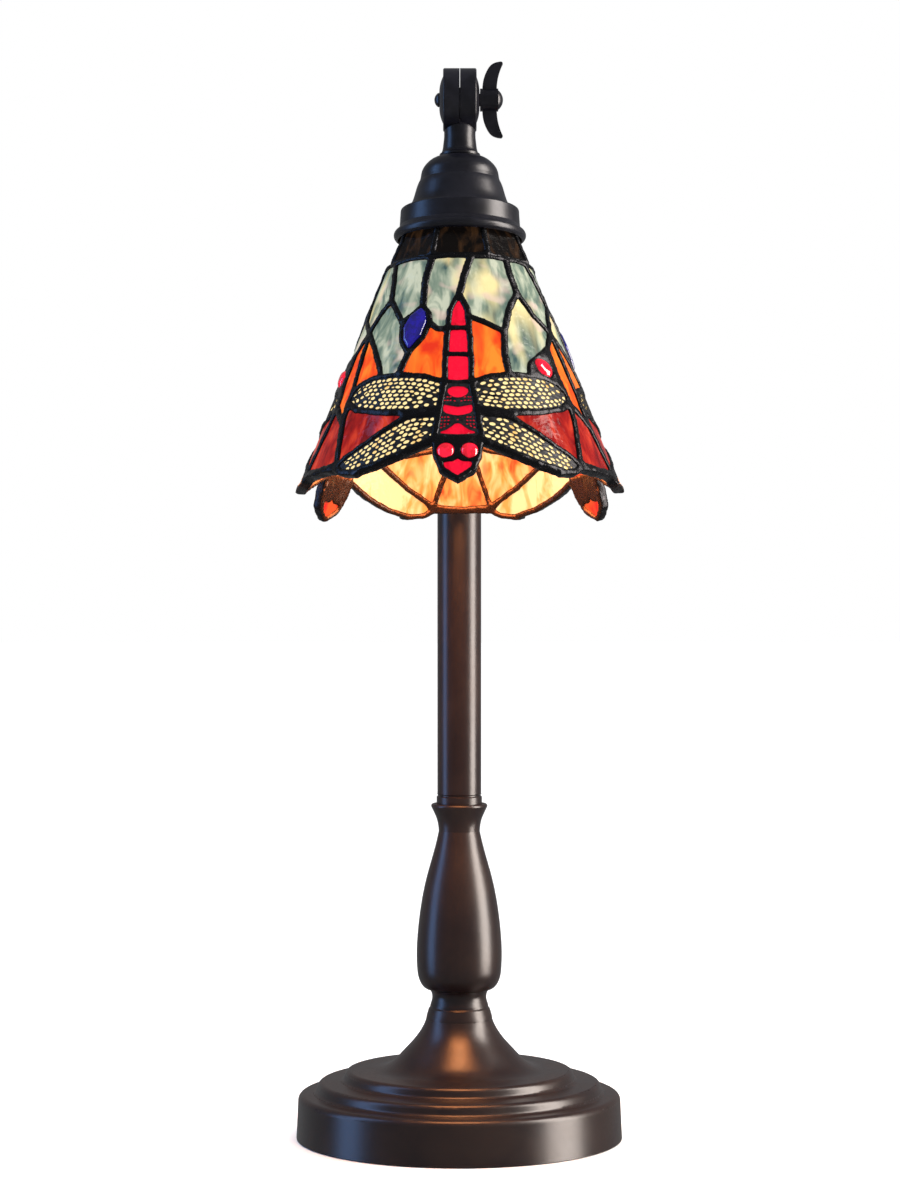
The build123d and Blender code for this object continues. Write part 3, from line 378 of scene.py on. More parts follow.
def sheet_glass_group():
    """Wisps, streaks and ripples of hand-rolled sheet glass, drawn down the slope of the shade."""
    name = "Hand-rolled glass"
    if name in bpy.data.node_groups:
        return bpy.data.node_groups[name]
    tree, given, results = new_group(
        name,
        [("Grain", "NodeSocketVector", (150.0, 150.0, 34.0)), ("Ripple", "NodeSocketFloat", 260.0)],
        [(output, "NodeSocketFloat") for output in ("Streak", "Cloud", "Spot", "Height", "Lit Side")],
    )
    place = put(tree, "ShaderNodeTexCoord").outputs["Object"]
    upright = put(tree, "ShaderNodeMapping", {"Vector": place, "Rotation": (HEAD_LEAN, 0, 0)})
    drawn = put(tree, "ShaderNodeVectorMath", {0: upright.outputs[0], 1: given["Grain"]},
                operation="MULTIPLY").outputs[0]
    pane = put(tree, "ShaderNodeAttribute", attribute_name="pane").outputs["Fac"]
    cut = put(tree, "ShaderNodeMath", {0: pane, 1: CUT_SPREAD}, operation="MULTIPLY").outputs[0]
    lit = put(tree, "ShaderNodeAttribute", attribute_name="lit_side").outputs["Fac"]
    tree.links.new(noise(tree, drawn, 1.0, cut, 3.0, 0.8), results["Streak"])
    tree.links.new(noise(tree, drawn, 0.42, cut, 1.5, 0.6), results["Cloud"])
    tree.links.new(noise(tree, upright.outputs[0], 95.0, cut, 1.0, 0.3), results["Spot"])
    thread = noise(tree, drawn, 3.4, cut, 2.0, 0.4)
    ripple = noise(tree, upright.outputs[0], given["Ripple"])
    height = put(tree, "ShaderNodeMath", {0: thread, 1: 0.35, 2: ripple}, operation="MULTIPLY_ADD")
    tree.links.new(height.outputs[0], results["Height"])
    tree.links.new(lit, results["Lit Side"])
    return tree


def worn_finish_group():
    """Mottling, fine grain and unevenness of a rubbed or moulded finish."""
    name = "Rubbed finish"
    if name in bpy.data.node_groups:
        return bpy.data.node_groups[name]
    tree, given, results = new_group(
        name,
        [("Mottle Scale", "NodeSocketFloat", 60.0), ("Grain Scale", "NodeSocketFloat", 900.0)],
        [(output, "NodeSocketFloat") for output in ("Mottle", "Height", "Gloss")],
    )
    place = put(tree, "ShaderNodeTexCoord").outputs["Object"]
    mottle = noise(tree, place, given["Mottle Scale"], detail=5.0, distortion=0.4)
    grain = noise(tree, place, given["Grain Scale"])
    tree.links.new(mottle, results["Mottle"])
    height = put(tree, "ShaderNodeMath", {0: mottle, 1: 0.5, 2: grain}, operation="MULTIPLY_ADD")
    tree.links.new(height.outputs[0], results["Height"])
    gloss = put(tree, "ShaderNodeMath", {0: mottle, 1: grain}, operation="MULTIPLY")
    tree.links.new(gloss.outputs[0], results["Gloss"])
    return tree


def new_material(name):
    """A material with its Principled node: (material, tree, Principled)."""
    material = bpy.data.materials.new(name)
    material.use_nodes = True
    shader = material.node_tree.nodes["Principled BSDF"]
    return material, material.node_tree, shader


def bumped(tree, shader, height, distance):
    """Gives a material a fine relief."""
    bump = put(tree, "ShaderNodeBump", {"Height": height, "Distance": distance, "Strength": 1.0})
    tree.links.new(bump.outputs["Normal"], shader.inputs["Normal"])


def grouped(tree, group, **values):
    """Places a node group with its own values and returns its outputs."""
    node = put(tree, "ShaderNodeGroup", node_tree=group)
    for name, value in values.items():
        node.inputs[name.replace("_", " ")].default_value = value
    return node.outputs


def uneven_gloss(tree, finish, smooth, dull):
    """A roughness that wanders between two values."""
    feeds = {"Value": finish["Gloss"], "From Min": 0.1, "From Max": 0.42, "To Min": smooth,
             "To Max": dull}
    return put(tree, "ShaderNodeMapRange", feeds).outputs["Result"]


GLASS_SOAKS_UP = 0.8            # share of the light from outside that goes into the glass
GLASS_SHEEN = 0.12              # strength of the reflections on the sheet glass


def lit_glass(name, outside, inside, glow, grain=(150.0, 150.0, 34.0), roughness=0.14, ripple=0.25):
    """Sheet glass with the lamp behind it, its glow painted on as emission.  outside and inside paint a
    colour from the grain.
    """
    material, tree, shader = new_material(name)
    sheet = grouped(tree, sheet_glass_group(), Grain=grain)
    shown = mixed(tree, sheet["Lit Side"], outside(tree, sheet), inside(tree, sheet))
    tree.links.new(mixed(tree, GLASS_SOAKS_UP, shown, opaque((0, 0, 0))), shader.inputs["Base Color"])
    # Painted light: the glass glows by emission, standing in for the bulb's light shining through it.
    tree.links.new(shown, shader.inputs["Emission Color"])
    shader.inputs["Emission Strength"].default_value = glow
    shader.inputs["Roughness"].default_value = roughness
    shader.inputs["Specular IOR Level"].default_value = GLASS_SHEEN
    bumped(tree, shader, sheet["Height"], ripple * MM)
    return material


def metal(name, light, dark, roughness, metallic=0.85, mottle=60.0, grain=900.0, relief=0.02,
          lacquer=0.0):
    """A finish that runs between two colours, bare or under lacquer.  relief is in millimetres."""
    material, tree, shader = new_material(name)
    finish = grouped(tree, worn_finish_group(), Mottle_Scale=mottle, Grain_Scale=grain)
    shown = mixed(tree, mask(tree, finish["Mottle"], 0.35, 0.65), opaque(dark), opaque(light))
    tree.links.new(shown, shader.inputs["Base Color"])
    tree.links.new(uneven_gloss(tree, finish, *roughness), shader.inputs["Roughness"])
    shader.inputs["Metallic"].default_value = metallic
    shader.inputs["Coat Weight"].default_value = lacquer
    shader.inputs["Coat Roughness"].default_value = roughness[0]
    bumped(tree, shader, finish["Height"], relief * MM)
    return material


# ---------------------------------------------------------------- solder

KEPT_FACES = {"shade_came": 0.42, "crown_came": 0.6}    # share of each bead's faces kept


def solder_material(colours):
    """Black patina with thin places outside, and copper colour on the bulb's side."""
    material, tree, shader = new_material("Patinated solder")
    finish = grouped(tree, worn_finish_group(), Mottle_Scale=210.0, Grain_Scale=1400.0)
    lit = put(tree, "ShaderNodeAttribute", attribute_name="lit_side").outputs["Fac"]
    outer = mixed(tree, mask(tree, finish["Mottle"], 0.60, 0.80, 0.6), opaque(colours.patina),
                  opaque(colours.tin))
    shown = mixed(tree, mask(tree, lit, 0.55, 0.95), outer, opaque(colours.copper))
    tree.links.new(shown, shader.inputs["Base Color"])
    tree.links.new(uneven_gloss(tree, finish, 0.16, 0.34), shader.inputs["Roughness"])
    shader.inputs["Metallic"].default_value = 0.8
    bumped(tree, shader, finish["Height"], 0.12 * MM)
    return material


class LAMP_OT_solder_beads(Operator):
    """Turns the square solder lines of the shade and its crown into rounded, uneven beads"""
    bl_idname = "lamp.solder_beads"
    bl_label = "Solder Beads"

    def execute(self, context):
        sizes = context.scene.lamp_solder
        material = solder_material(context.scene.lamp_metals)
        relief = lumps("Solder lumps", sizes.lump_length)
        for node, kept in KEPT_FACES.items():
            bead = merged_copy(node, node + "_beads")
            modify(bead, "REMESH", mode="VOXEL", voxel_size=sizes.grain)
            modify(bead, "SMOOTH", factor=0.5, iterations=5)
            modify(bead, "DISPLACE", strength=sizes.swell, mid_level=0.0)
            modify(bead, "DISPLACE", texture=relief, strength=sizes.lump_height, mid_level=0.5)
            modify(bead, "SMOOTH", factor=0.5, iterations=2)
            modify(bead, "DECIMATE", ratio=kept)
            bpy.ops.object.shade_smooth()
            mark_lit_side(bead)
            finished(bead, material, "patinated_solder", "head", node)
        return {"FINISHED"}


# ---------------------------------------------------------------- panes

def sky_outside(colours):
    """Wisps of grey-green with milky and rosy patches."""
    def paint(tree, sheet):
        wisps = ramp(tree, sheet["Streak"], (0.34, colours.sky_deep), (0.48, colours.sky_middle),
                     (0.62, colours.sky_pale))
        milky = mixed(tree, mask(tree, sheet["Cloud"], 0.50, 0.66, 0.85), wisps,
                      opaque(colours.sky_cream))
        return mixed(tree, mask(tree, sheet["Spot"], 0.56, 0.70, 0.6), milky, opaque(colours.sky_rose))
    return paint


def streaked(deep, middle, pale, share=0.0, patch=None):
    """Streaks from deep to pale, with soft patches of one more colour."""
    def paint(tree, sheet):
        body = ramp(tree, sheet["Streak"], (0.33, deep), (0.48, middle), (0.66, pale))
        if patch is None:
            return body
        return mixed(tree, mask(tree, sheet["Cloud"], 0.50, 0.64, share), body, opaque(patch))
    return paint


def cut_pane(node, seed):
    """The panes of a frame node, each marked with its place in the sheet."""
    pane = merged_copy(node, node + "_panes")
    mark_panes(pane, seed)
    mark_lit_side(pane)
    bpy.ops.object.shade_smooth_by_angle(angle=math.radians(30))
    return pane


class LAMP_OT_panes(Operator):
    """Cuts the panes of the shade and its crown from streaky sheet glass"""
    bl_idname = "lamp.panes"
    bl_label = "Glass Panes"

    def execute(self, context):
        glass = context.scene.lamp_glass
        amber_inside = streaked(glass.lit_rust, glass.lit_amber, glass.lit_cream, 0.3, glass.lit_cream)
        cream_inside = streaked(glass.lit_amber, glass.lit_cream, glass.lit_cream)
        flame = streaked(glass.flame_deep, glass.flame_middle, glass.flame_pale, 0.55,
                         glass.flame_pale)
        crimson = streaked(glass.crimson_deep, glass.crimson_middle, glass.crimson_pale)
        cream = streaked(glass.cream_deep, glass.cream, glass.cream)
        ruby = streaked(glass.ruby_deep, glass.ruby, glass.ruby)
        ruby_inside = streaked(glass.ruby_deep, glass.lit_rust, glass.lit_rust)
        sheets = {
            "sky_glass": ("opalescent_sky_glass",
                          lit_glass("Wispy sky glass", sky_outside(glass), cream_inside, glass.glow)),
            "orange_glass": ("streaky_orange_glass",
                             lit_glass("Streaky orange glass", flame, amber_inside, glass.glow)),
            "crimson_glass": ("crimson_glass",
                              lit_glass("Crimson glass", crimson, amber_inside, glass.glow)),
            "wing_glass": ("cream_wing_glass",
                           lit_glass("Cream wing glass", cream, cream_inside, glass.glow * 1.15)),
            "body_glass": ("ruby_body_glass",
                           lit_glass("Ruby body glass", ruby, ruby_inside, glass.glow,
                                     grain=(110.0, 110.0, 60.0), ripple=0.5)),
        }
        for side in SIDES:
            for place, (kind, (slot, material)) in enumerate(sheets.items()):
                node = f"{side}_{kind}"
                finished(cut_pane(node, f"{side} {place}"), material, slot, "head", node)
        smoke = lit_glass("Smoky crown glass", streaked(glass.smoke, glass.smoke, glass.smoke_pale),
                          streaked(glass.smoke, glass.lit_rust, glass.lit_amber), glass.glow * 0.5,
                          grain=(190.0, 190.0, 40.0), roughness=0.2, ripple=0.4)
        finished(cut_pane("crown_glass", "crown"), smoke, "smoky_crown_glass", "head", "crown_glass")
        return {"FINISHED"}


# ---------------------------------------------------------------- filigree

def densely(outline, step=2.5 * MM):
    """The same flat outline with no two corners further apart than a step."""
    dense = []
    for i, start in enumerate(outline):
        end = outline[(i + 1) % len(outline)]
        parts = max(1, math.ceil((end - start).length / step))
        dense += [start.lerp(end, part / parts) for part in range(parts)]
    return dense


def oval(centre, length, width, lean, points=12):
    """Corners of an oval cell that leans by an angle."""
    along = Vector((math.cos(lean), math.sin(lean))) * length / 2
    across = Vector((-math.sin(lean), math.cos(lean))) * width / 2
    turns = [2 * math.pi * i / points for i in range(points)]
    return [centre + along * math.cos(turn) + across * math.sin(turn) for turn in turns]


def reach_across(outline, start, along, across, distance):
    """Lowest and highest place of an outline across a line, at a distance along it."""
    crossings = []
    for i, corner in enumerate(outline):
        first = corner - start
        second = outline[(i + 1) % len(outline)] - start
        before = first.dot(along) - distance
        after = second.dot(along) - distance
        if before * after < 0:
            share = before / (before - after)
            crossings.append(first.dot(across) * (1 - share) + second.dot(across) * share)
    return (min(crossings), max(crossings)) if len(crossings) > 1 else None


def apart(cell, others, gap):
    """Whether no corner of a cell comes within a gap of the corners of others."""
    return all((corner - far).length > gap for corner in cell for other in others for far in other)


CELL_SHRINKS = (1.0, 0.88, 0.76, 0.64, 0.52)    # a cell gets smaller until it clears the rest


def wing_cells(outline, root, tip, sizes, chance):
    """Oval cells in rows that follow the wing from its root to its tip."""
    rim = densely(outline, 0.8 * MM)
    along = (tip - root).normalized()
    across = Vector((-along.y, along.x))
    length = (tip - root).length
    cells = []
    columns = round((length - 2 * sizes.border) / sizes.column_pitch) + 2
    for column in range(columns):
        distance = sizes.border * 0.9 + column * sizes.column_pitch
        middle = reach_across(outline, root, along, across, distance)
        if middle is None:
            continue
        rows = max(1, round((middle[1] - middle[0] - 2 * sizes.border) / sizes.row_pitch))
        for row in range(rows):
            place = distance + (row % 2) * sizes.column_pitch / 2 + chance.uniform(-0.35, 0.35) * MM
            here = reach_across(outline, root, along, across, place)
            ahead = reach_across(outline, root, along, across, place + MM)
            if here is None or ahead is None:
                continue
            room = here[1] - here[0] - 2 * sizes.border
            if room < 0.6 * sizes.cell_width or place + sizes.cell_length / 2 > length - sizes.border:
                continue
            depth = (row + 0.5) / rows
            low = here[0] + sizes.border
            drift = (ahead[0] - here[0]) * (1 - depth) + (ahead[1] - here[1]) * depth
            aside = low + room * depth + chance.uniform(-0.1, 0.1) * MM
            centre = root + along * place + across * aside
            lean = math.atan2(along.y, along.x) + math.atan2(drift, MM) + chance.uniform(-0.25, 0.25)
            width = min(sizes.cell_width, 0.96 * room / rows) * chance.uniform(0.80, 1.06)
            stretch = sizes.cell_length * chance.uniform(0.76, 1.0)
            near = [cell for cell in cells if (cell[0] - centre).length < 1.8 * sizes.cell_length]
            for shrink in CELL_SHRINKS:
                cell = oval(centre, stretch * shrink, width * shrink, lean)
                if apart(cell, near, sizes.bar) and apart(cell, [rim], sizes.bar + 0.4 * MM):
                    cells.append(cell)
                    break
    return cells


def flat_wing(top, bottom, sizes, chance):
    """Outline and cells of one wing on the unrolled cone."""
    outline = [flat_place(*point) for point in top + bottom]
    root = (flat_place(*top[0]) + flat_place(*bottom[-1])) / 2
    tip = (flat_place(*top[-1]) + flat_place(*bottom[0])) / 2
    return [densely(outline)] + wing_cells(outline, root, tip, sizes, chance)


def about_back(*points):
    """A hole on the dragonfly's back: points as (millimetres aside, drop), drawn on both sides."""
    places = []
    for aside, drop in points:
        radius = CONE_TOP_RADIUS / MM + CONE_SLOPE * drop
        places.append((math.degrees(aside / radius), drop))
    return [flat_place(*place) for place in places + [point for point in mirrored(places) if point[0]]]


def flat_thorax(chance):
    """Outline and holes of the pierced sheet over the dragonfly's back."""
    outline = [flat_place(*point) for point in THORAX + mirrored(THORAX)]
    holes = [
        about_back((0, 69.3), (2.6, 69.5), (4.4, 70.6), (4.6, 72.2), (3.6, 73.7), (1.8, 74.7),
                   (0, 75.0)),
        about_back((0, 79.6), (3.2, 79.0), (6.0, 78.4), (6.5, 79.6), (6.4, 81.6), (5.2, 82.7),
                   (2.2, 83.6), (0, 83.9)),
        about_back((0, 87.6), (1.4, 88.0), (3.0, 89.4), (5.2, 90.9), (7.5, 91.7), (7.6, 92.6),
                   (4.4, 93.0), (0, 93.2)),
    ]
    tiny = [(aside, drop) for drop in (74.6, 76.3) for aside in (3.1, 4.6, 6.0)]
    tiny += [(aside, drop) for drop in (84.6, 86.3, 88.0) for aside in (4.2, 5.7, 7.2)]
    tiny += [(7.3, 89.7), (5.9, 89.1), (1.6, 76.6)]
    for aside, drop in tiny:
        radius = CONE_TOP_RADIUS / MM + CONE_SLOPE * drop
        for way in (1, -1):
            degrees = math.degrees((aside + chance.uniform(-0.15, 0.15)) / radius) * way
            lean = chance.uniform(-0.6, 0.6)
            holes.append(oval(flat_place(degrees, drop), chance.uniform(1.0, 1.25) * MM,
                              chance.uniform(0.75, 0.9) * MM, lean, points=8))
    holes.append(oval(flat_place(0, 85.9), 0.8 * MM, 0.8 * MM, 0, points=8))
    return [densely(outline)] + holes


def pierced_sheet(name, outlines, sizes):
    """A flat sheet with holes, made from closed outlines on the unrolled cone."""
    curve = bpy.data.curves.new(name, "CURVE")
    curve.dimensions = "2D"
    curve.fill_mode = "BOTH"
    curve.extrude = sizes.thickness / 2 - sizes.edge
    curve.bevel_depth = sizes.edge
    curve.bevel_resolution = 1
    for outline in outlines:
        spline = curve.splines.new("POLY")
        spline.points.add(len(outline) - 1)
        for point, corner in zip(spline.points, outline):
            point.co = (corner.x, corner.y, 0.0, 1.0)
        spline.use_cyclic_u = True
    linked(name, curve)
    bpy.ops.object.convert(target="MESH")
    return bpy.context.view_layer.objects.active


class LAMP_OT_filigree(Operator):
    """Lays pierced metal sheets over the wings and back of each dragonfly"""
    bl_idname = "lamp.filigree"
    bl_label = "Filigree"

    def execute(self, context):
        sizes = context.scene.lamp_filigree
        colours = context.scene.lamp_metals
        material = metal("Black filigree", Vector(colours.tin) * 0.3, colours.patina, (0.35, 0.5),
                         metallic=0.6, mottle=700.0, relief=0.03)
        for side, turn in SIDES.items():
            chance = random.Random(f"{side} {sizes.seed}")
            patterns = [flat_thorax(chance)]
            for top, bottom in ((FORE_TOP, FORE_BOTTOM), (HIND_TOP, HIND_BOTTOM)):
                patterns.append(flat_wing(top, bottom, sizes, chance))
                patterns.append(flat_wing(mirrored(top)[::-1], mirrored(bottom)[::-1], sizes, chance))
            sheets = []
            for outlines in patterns:
                part = pierced_sheet(side + "_filigree_sheets", outlines, sizes)
                rise = sizes.rise if sheets else sizes.rise + sizes.back_rise
                for vertex in part.data.vertices:
                    vertex.co = rolled(vertex.co.x, vertex.co.y, rise + vertex.co.z, turn)
                sheets.append(part)
            for part in sheets:
                part.select_set(True)
            sheet = sheets[-1]
            bpy.ops.object.join()
            weld(face_outwards=True)
            bpy.ops.object.shade_smooth_by_angle(angle=math.radians(40))
            finished(sheet, material, "black_filigree", "head", side + "_filigree")
        return {"FINISHED"}


# ---------------------------------------------------------------- jewels

JEWEL_GRAIN = 0.33 * MM         # side of the cubes that a jewel's surface is rebuilt from
JEWEL_SWELL = 0.45 * MM         # how far its dome stands out further than the flat-sided piece


def jewel_material(name, rgb, deep, glow):
    """Pressed glass: clear and glossy, darker in mottled patches, with a painted glow standing in for
    the bulb's light through it.
    """
    material, tree, shader = new_material(name)
    finish = grouped(tree, worn_finish_group(), Mottle_Scale=260.0, Grain_Scale=900.0)
    shown = mixed(tree, mask(tree, finish["Mottle"], 0.4, 0.65), opaque(deep), opaque(rgb))
    tree.links.new(shown, shader.inputs["Base Color"])
    # Painted light: the emission stands in for the bulb shining through the jewel.
    tree.links.new(shown, shader.inputs["Emission Color"])
    shader.inputs["Emission Strength"].default_value = glow
    shader.inputs["Roughness"].default_value = 0.04
    shader.inputs["IOR"].default_value = 1.6
    shader.inputs["Transmission Weight"].default_value = 0.35
    shader.inputs["Coat Weight"].default_value = 0.8
    shader.inputs["Coat Roughness"].default_value = 0.02
    bumped(tree, shader, finish["Height"], 0.03 * MM)
    return material


class LAMP_OT_jewels(Operator):
    """Domes the dragonflies' eyes, the red cabochons and the blue jewels"""
    bl_idname = "lamp.jewels"
    bl_label = "Jewels"

    def execute(self, context):
        glass = context.scene.lamp_glass
        cobalt_deep = Vector(glass.cobalt) * 0.5
        cobalt = jewel_material("Cobalt jewel", glass.cobalt, cobalt_deep, glass.glow * 0.6)
        ruby = jewel_material("Ruby jewel", glass.ruby, glass.ruby_deep, glass.glow * 0.75)
        kinds = {"blue_jewels": ("cobalt_jewel", cobalt), "red_cabochons": ("ruby_jewel", ruby)}
        for node, (slot, material) in kinds.items():
            jewel = merged_copy(node, node + "_domed")
            modify(jewel, "REMESH", mode="VOXEL", voxel_size=JEWEL_GRAIN)
            modify(jewel, "SMOOTH", factor=0.5, iterations=14)
            modify(jewel, "DISPLACE", strength=JEWEL_SWELL, mid_level=0.0)
            bpy.ops.object.shade_smooth()
            finished(jewel, material, slot, "head", node)
        return {"FINISHED"}


# ---------------------------------------------------------------- metal and fittings

BRONZE_NODES = ("base_shell", "neck_ring", "baluster", "collar_ring", "stem_tube", "stem_cap",
                "arm_tube", "arm_ferrule")
BLACK_NODES = ("knuckle_fixed_half", "knuckle_moving_half", "bolt_side_plate", "nut_side_plate",
               "pivot_bolt", "wing_nut", "neck_collar", "fitter_cup")


def dress(nodes, material):
    """Gives frame nodes a material of their own."""
    for node in nodes:
        mesh = NODES[node].data
        mesh.materials.clear()
        mesh.materials.append(material)


class LAMP_OT_metalwork(Operator):
    """Finishes the foot, stem, arm, knuckle and cup in oil-rubbed bronze and black"""
    bl_idname = "lamp.metalwork"
    bl_label = "Metalwork"

    def execute(self, context):
        colours = context.scene.lamp_metals
        bronze = metal("Oil-rubbed bronze", colours.bronze, colours.bronze_dark, (0.28, 0.38),
                       metallic=0.3, mottle=38.0, grain=620.0, relief=0.008, lacquer=0.4)
        black = metal("Blackened bronze", colours.black_rubbed, colours.black, (0.28, 0.38),
                      metallic=0.3, mottle=90.0, grain=800.0, relief=0.008, lacquer=0.15)
        dress(BRONZE_NODES, bronze)
        dress(BLACK_NODES, black)
        return {"FINISHED"}


def moulded(name, rgb, roughness, relief=0.03, scale=500.0):
    """A moulded, pressed or felted material with a fine grain."""
    dark = Vector(rgb) * 0.7
    return metal(name, rgb, dark, roughness, metallic=0.0, mottle=scale, grain=scale * 3,
                 relief=relief)


class LAMP_OT_fittings(Operator):
    """Finishes the pad, weight, rod, nuts, lampholder and wiring"""
    bl_idname = "lamp.fittings"
    bl_label = "Fittings"

    def execute(self, context):
        colours = context.scene.lamp_metals
        zinc = metal("Zinc plate", colours.zinc, Vector(colours.zinc) * 0.7, (0.25, 0.45),
                     mottle=150.0)
        brass = metal("Plain brass", colours.brass, Vector(colours.brass) * 0.7, (0.2, 0.4),
                      mottle=120.0)
        dress(("base_plate", "column_rod", "rod_bottom_nut", "rod_lock_washer", "socket_nipple",
               "nipple_nut"), zinc)
        dress(("centre_contact", "screw_shell", "crown_plate"), brass)
        dress(("base_weight",), metal("Cast iron", colours.iron, Vector(colours.iron) * 0.5, (0.6, 0.85),
                                      mottle=120.0, relief=0.3))
        dress(("base_pad",), moulded("Pressed felt", (0.035, 0.04, 0.037), (0.9, 1.0), 0.25, 1500.0))
        dress(("cord_inlet_bush", "inner_wire"),
              moulded("Black plastic", (0.02, 0.02, 0.021), (0.4, 0.55)))
        dress(("friction_disc",), moulded("Red fibre", (0.26, 0.10, 0.07), (0.6, 0.8)))
        dress(("lampholder_cap", "lampholder_body", "lampholder_insulator", "shade_ring"),
              moulded("Black phenolic", (0.026, 0.024, 0.023), (0.25, 0.4)))
        dress(("bulb_cap",), metal("Aluminium cap", (0.72, 0.72, 0.70), (0.55, 0.55, 0.54), (0.2, 0.4)))
        return {"FINISHED"}


BULB_GLOW = 9.0
BULB_AMBER = (1.0, 0.66, 0.34)
BULB_YELLOW = (1.0, 0.74, 0.44)


class LAMP_OT_bulb(Operator):
    """Lights the frosted bulb"""
    bl_idname = "lamp.bulb"
    bl_label = "Bulb"

    def execute(self, context):
        material, tree, shader = new_material("Frosted bulb")
        finish = grouped(tree, worn_finish_group(), Mottle_Scale=40.0, Grain_Scale=1200.0)
        shown = mixed(tree, mask(tree, finish["Mottle"], 0.3, 0.7), opaque(BULB_AMBER),
                      opaque(BULB_YELLOW))
        tree.links.new(shown, shader.inputs["Base Color"])
        tree.links.new(shown, shader.inputs["Emission Color"])
        shader.inputs["Emission Strength"].default_value = BULB_GLOW
        shader.inputs["Roughness"].default_value = 0.35
        bumped(tree, shader, finish["Height"], 0.01 * MM)
        dress(("bulb_glass",), material)
        stem, tree, shader = new_material("Clear stem")
        finish = grouped(tree, worn_finish_group())
        tint = mixed(tree, finish["Mottle"], (0.9, 0.92, 0.9, 1.0), (0.75, 0.78, 0.76, 1.0))
        tree.links.new(tint, shader.inputs["Base Color"])
        shader.inputs["Roughness"].default_value = 0.05
        shader.inputs["Transmission Weight"].default_value = 0.9
        dress(("bulb_stem",), stem)
        return {"FINISHED"}


# ---------------------------------------------------------------- stage

def softbox(name, place, target, size, rgb, power):
    """A soft rectangular light that faces a target."""
    bpy.ops.object.light_add(type="AREA", location=place)
    light = bpy.context.view_layer.objects.active
    light.name = name
    light.rotation_euler = (Vector(target) - Vector(place)).to_track_quat("-Z", "Y").to_euler()
    light.data.shape = "RECTANGLE"
    light.data.size, light.data.size_y = size
    light.data.color = rgb
    light.data.energy = power
    light.visible_camera = False
    return light


FLOOR_WIDTH = 12.0
SURROUND_COLOUR = (0.95, 0.97, 1.0)
LAMP_MIDDLE = (0.0, 0.0, 0.27)
MOUTH = (0.0, -0.118, 0.338)    # the open end of the shade
FOOT = (0.0, -0.03, 0.0)


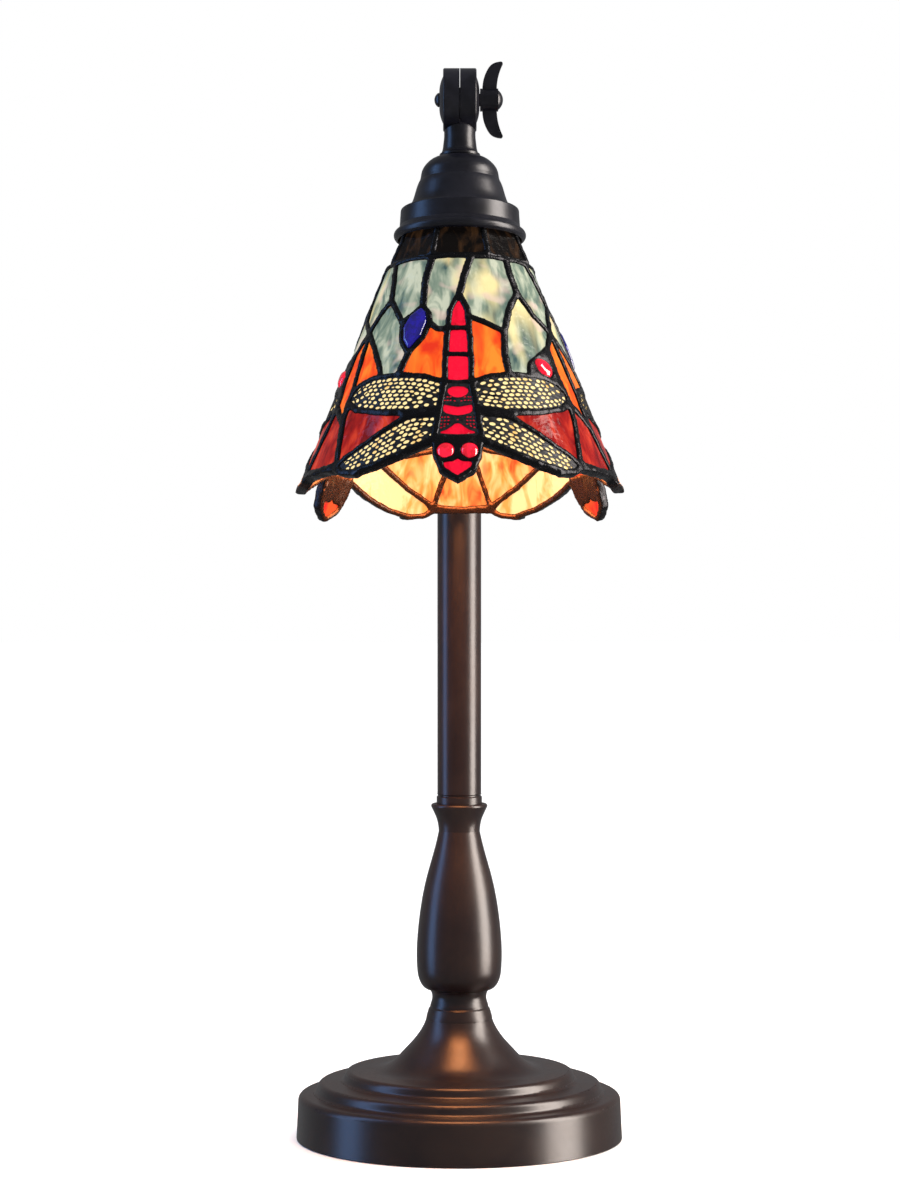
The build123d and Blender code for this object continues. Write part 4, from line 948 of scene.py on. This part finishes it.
class LAMP_OT_stage(Operator):
    """Sets up the pale floor, soft lights and camera"""
    bl_idname = "lamp.stage"
    bl_label = "Stage"

    def execute(self, context):
        settings = context.scene.lamp_stage
        deselect_all()
        bpy.ops.mesh.primitive_plane_add(size=FLOOR_WIDTH, location=(0, 0, 0))
        floor = context.view_layer.objects.active
        floor.name = "pale_floor"
        material, tree, shader = new_material("Pale floor")
        shader.inputs["Base Color"].default_value = opaque(settings.floor)
        shader.inputs["Roughness"].default_value = 0.7
        floor.data.materials.append(material)
        floor.visible_glossy = False

        softbox("Cool side light", (-1.32, -0.20, 0.55), LAMP_MIDDLE, (0.5, 1.8),
                (0.24, 0.48, 1.0), 11.0)
        softbox("Warm side light", (1.35, -0.32, 0.55), LAMP_MIDDLE, (0.75, 1.8),
                (1.0, 0.92, 0.84), 60.0)
        softbox("Glow of the mouth", MOUTH, FOOT, (0.17, 0.10), (1.0, 0.34, 0.11), 1.0)
        bpy.ops.object.light_add(type="SUN", location=(0.0, 0.0, 2.0))
        overhead = context.view_layer.objects.active
        overhead.name = "Even overhead light"
        overhead.data.energy = settings.overhead
        overhead.data.angle = math.radians(60)
        overhead.visible_glossy = False

        world = bpy.data.worlds.new("Soft surround")
        context.scene.world = world
        world.use_nodes = True
        tree = world.node_tree
        ambient = tree.nodes["Background"]
        ambient.inputs["Color"].default_value = opaque(SURROUND_COLOUR)
        ambient.inputs["Strength"].default_value = settings.surround
        seen = put(tree, "ShaderNodeBackground", {"Color": opaque(settings.backdrop), "Strength": 1.0})
        path = put(tree, "ShaderNodeLightPath")
        blend = put(tree, "ShaderNodeMixShader", {0: path.outputs["Is Camera Ray"],
                                                  1: ambient.outputs[0], 2: seen.outputs[0]})
        tree.links.new(blend.outputs[0], tree.nodes["World Output"].inputs["Surface"])
        context.scene.view_settings.view_transform = "Standard"

        bpy.ops.object.camera_add(location=(settings.aside, -settings.distance, settings.height),
                                  rotation=(math.radians(90), 0, 0))
        camera = context.view_layer.objects.active
        camera.name = "Front camera"
        camera.data.sensor_fit = "VERTICAL"
        camera.data.sensor_height = 36.0
        camera.data.lens = settings.lens
        camera.data.shift_y = settings.fall
        context.scene.camera = camera
        return {"FINISHED"}


# ---------------------------------------------------------------- panel and registration

STEPS = (LAMP_OT_solder_beads, LAMP_OT_panes, LAMP_OT_filigree, LAMP_OT_jewels, LAMP_OT_metalwork,
         LAMP_OT_fittings, LAMP_OT_bulb, LAMP_OT_stage)
SETTINGS = {"lamp_solder": LampSolderSizes, "lamp_filigree": LampFiligreeSizes,
            "lamp_glass": LampGlassColours, "lamp_metals": LampMetalColours,
            "lamp_stage": LampStageSettings}


class LAMP_PT_panel(Panel):
    """Lists the lamp's building steps and settings"""
    bl_label = "Dragonfly Lamp"
    bl_idname = "LAMP_PT_panel"
    bl_space_type = "VIEW_3D"
    bl_region_type = "UI"
    bl_category = "Lamp"

    def draw(self, context):
        for step in STEPS:
            self.layout.operator(step.bl_idname)
        for name, group in SETTINGS.items():
            box = self.layout.box()
            for setting in group.__annotations__:
                box.prop(getattr(context.scene, name), setting)


def register():
    for group in SETTINGS.values():
        bpy.utils.register_class(group)
    for step in STEPS:
        bpy.utils.register_class(step)
    bpy.utils.register_class(LAMP_PT_panel)
    for name, group in SETTINGS.items():
        setattr(bpy.types.Scene, name, PointerProperty(type=group))


def unregister():
    for name in SETTINGS:
        delattr(bpy.types.Scene, name)
    bpy.utils.unregister_class(LAMP_PT_panel)
    for step in reversed(STEPS):
        bpy.utils.unregister_class(step)
    for group in SETTINGS.values():
        bpy.utils.unregister_class(group)


def main():
    register()
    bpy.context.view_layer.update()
    bpy.ops.lamp.solder_beads()
    bpy.ops.lamp.panes()
    bpy.ops.lamp.filigree()
    bpy.ops.lamp.jewels()
    bpy.ops.lamp.metalwork()
    bpy.ops.lamp.fittings()
    bpy.ops.lamp.bulb()
    bpy.ops.lamp.stage()


if __name__ == "__main__":
    main()
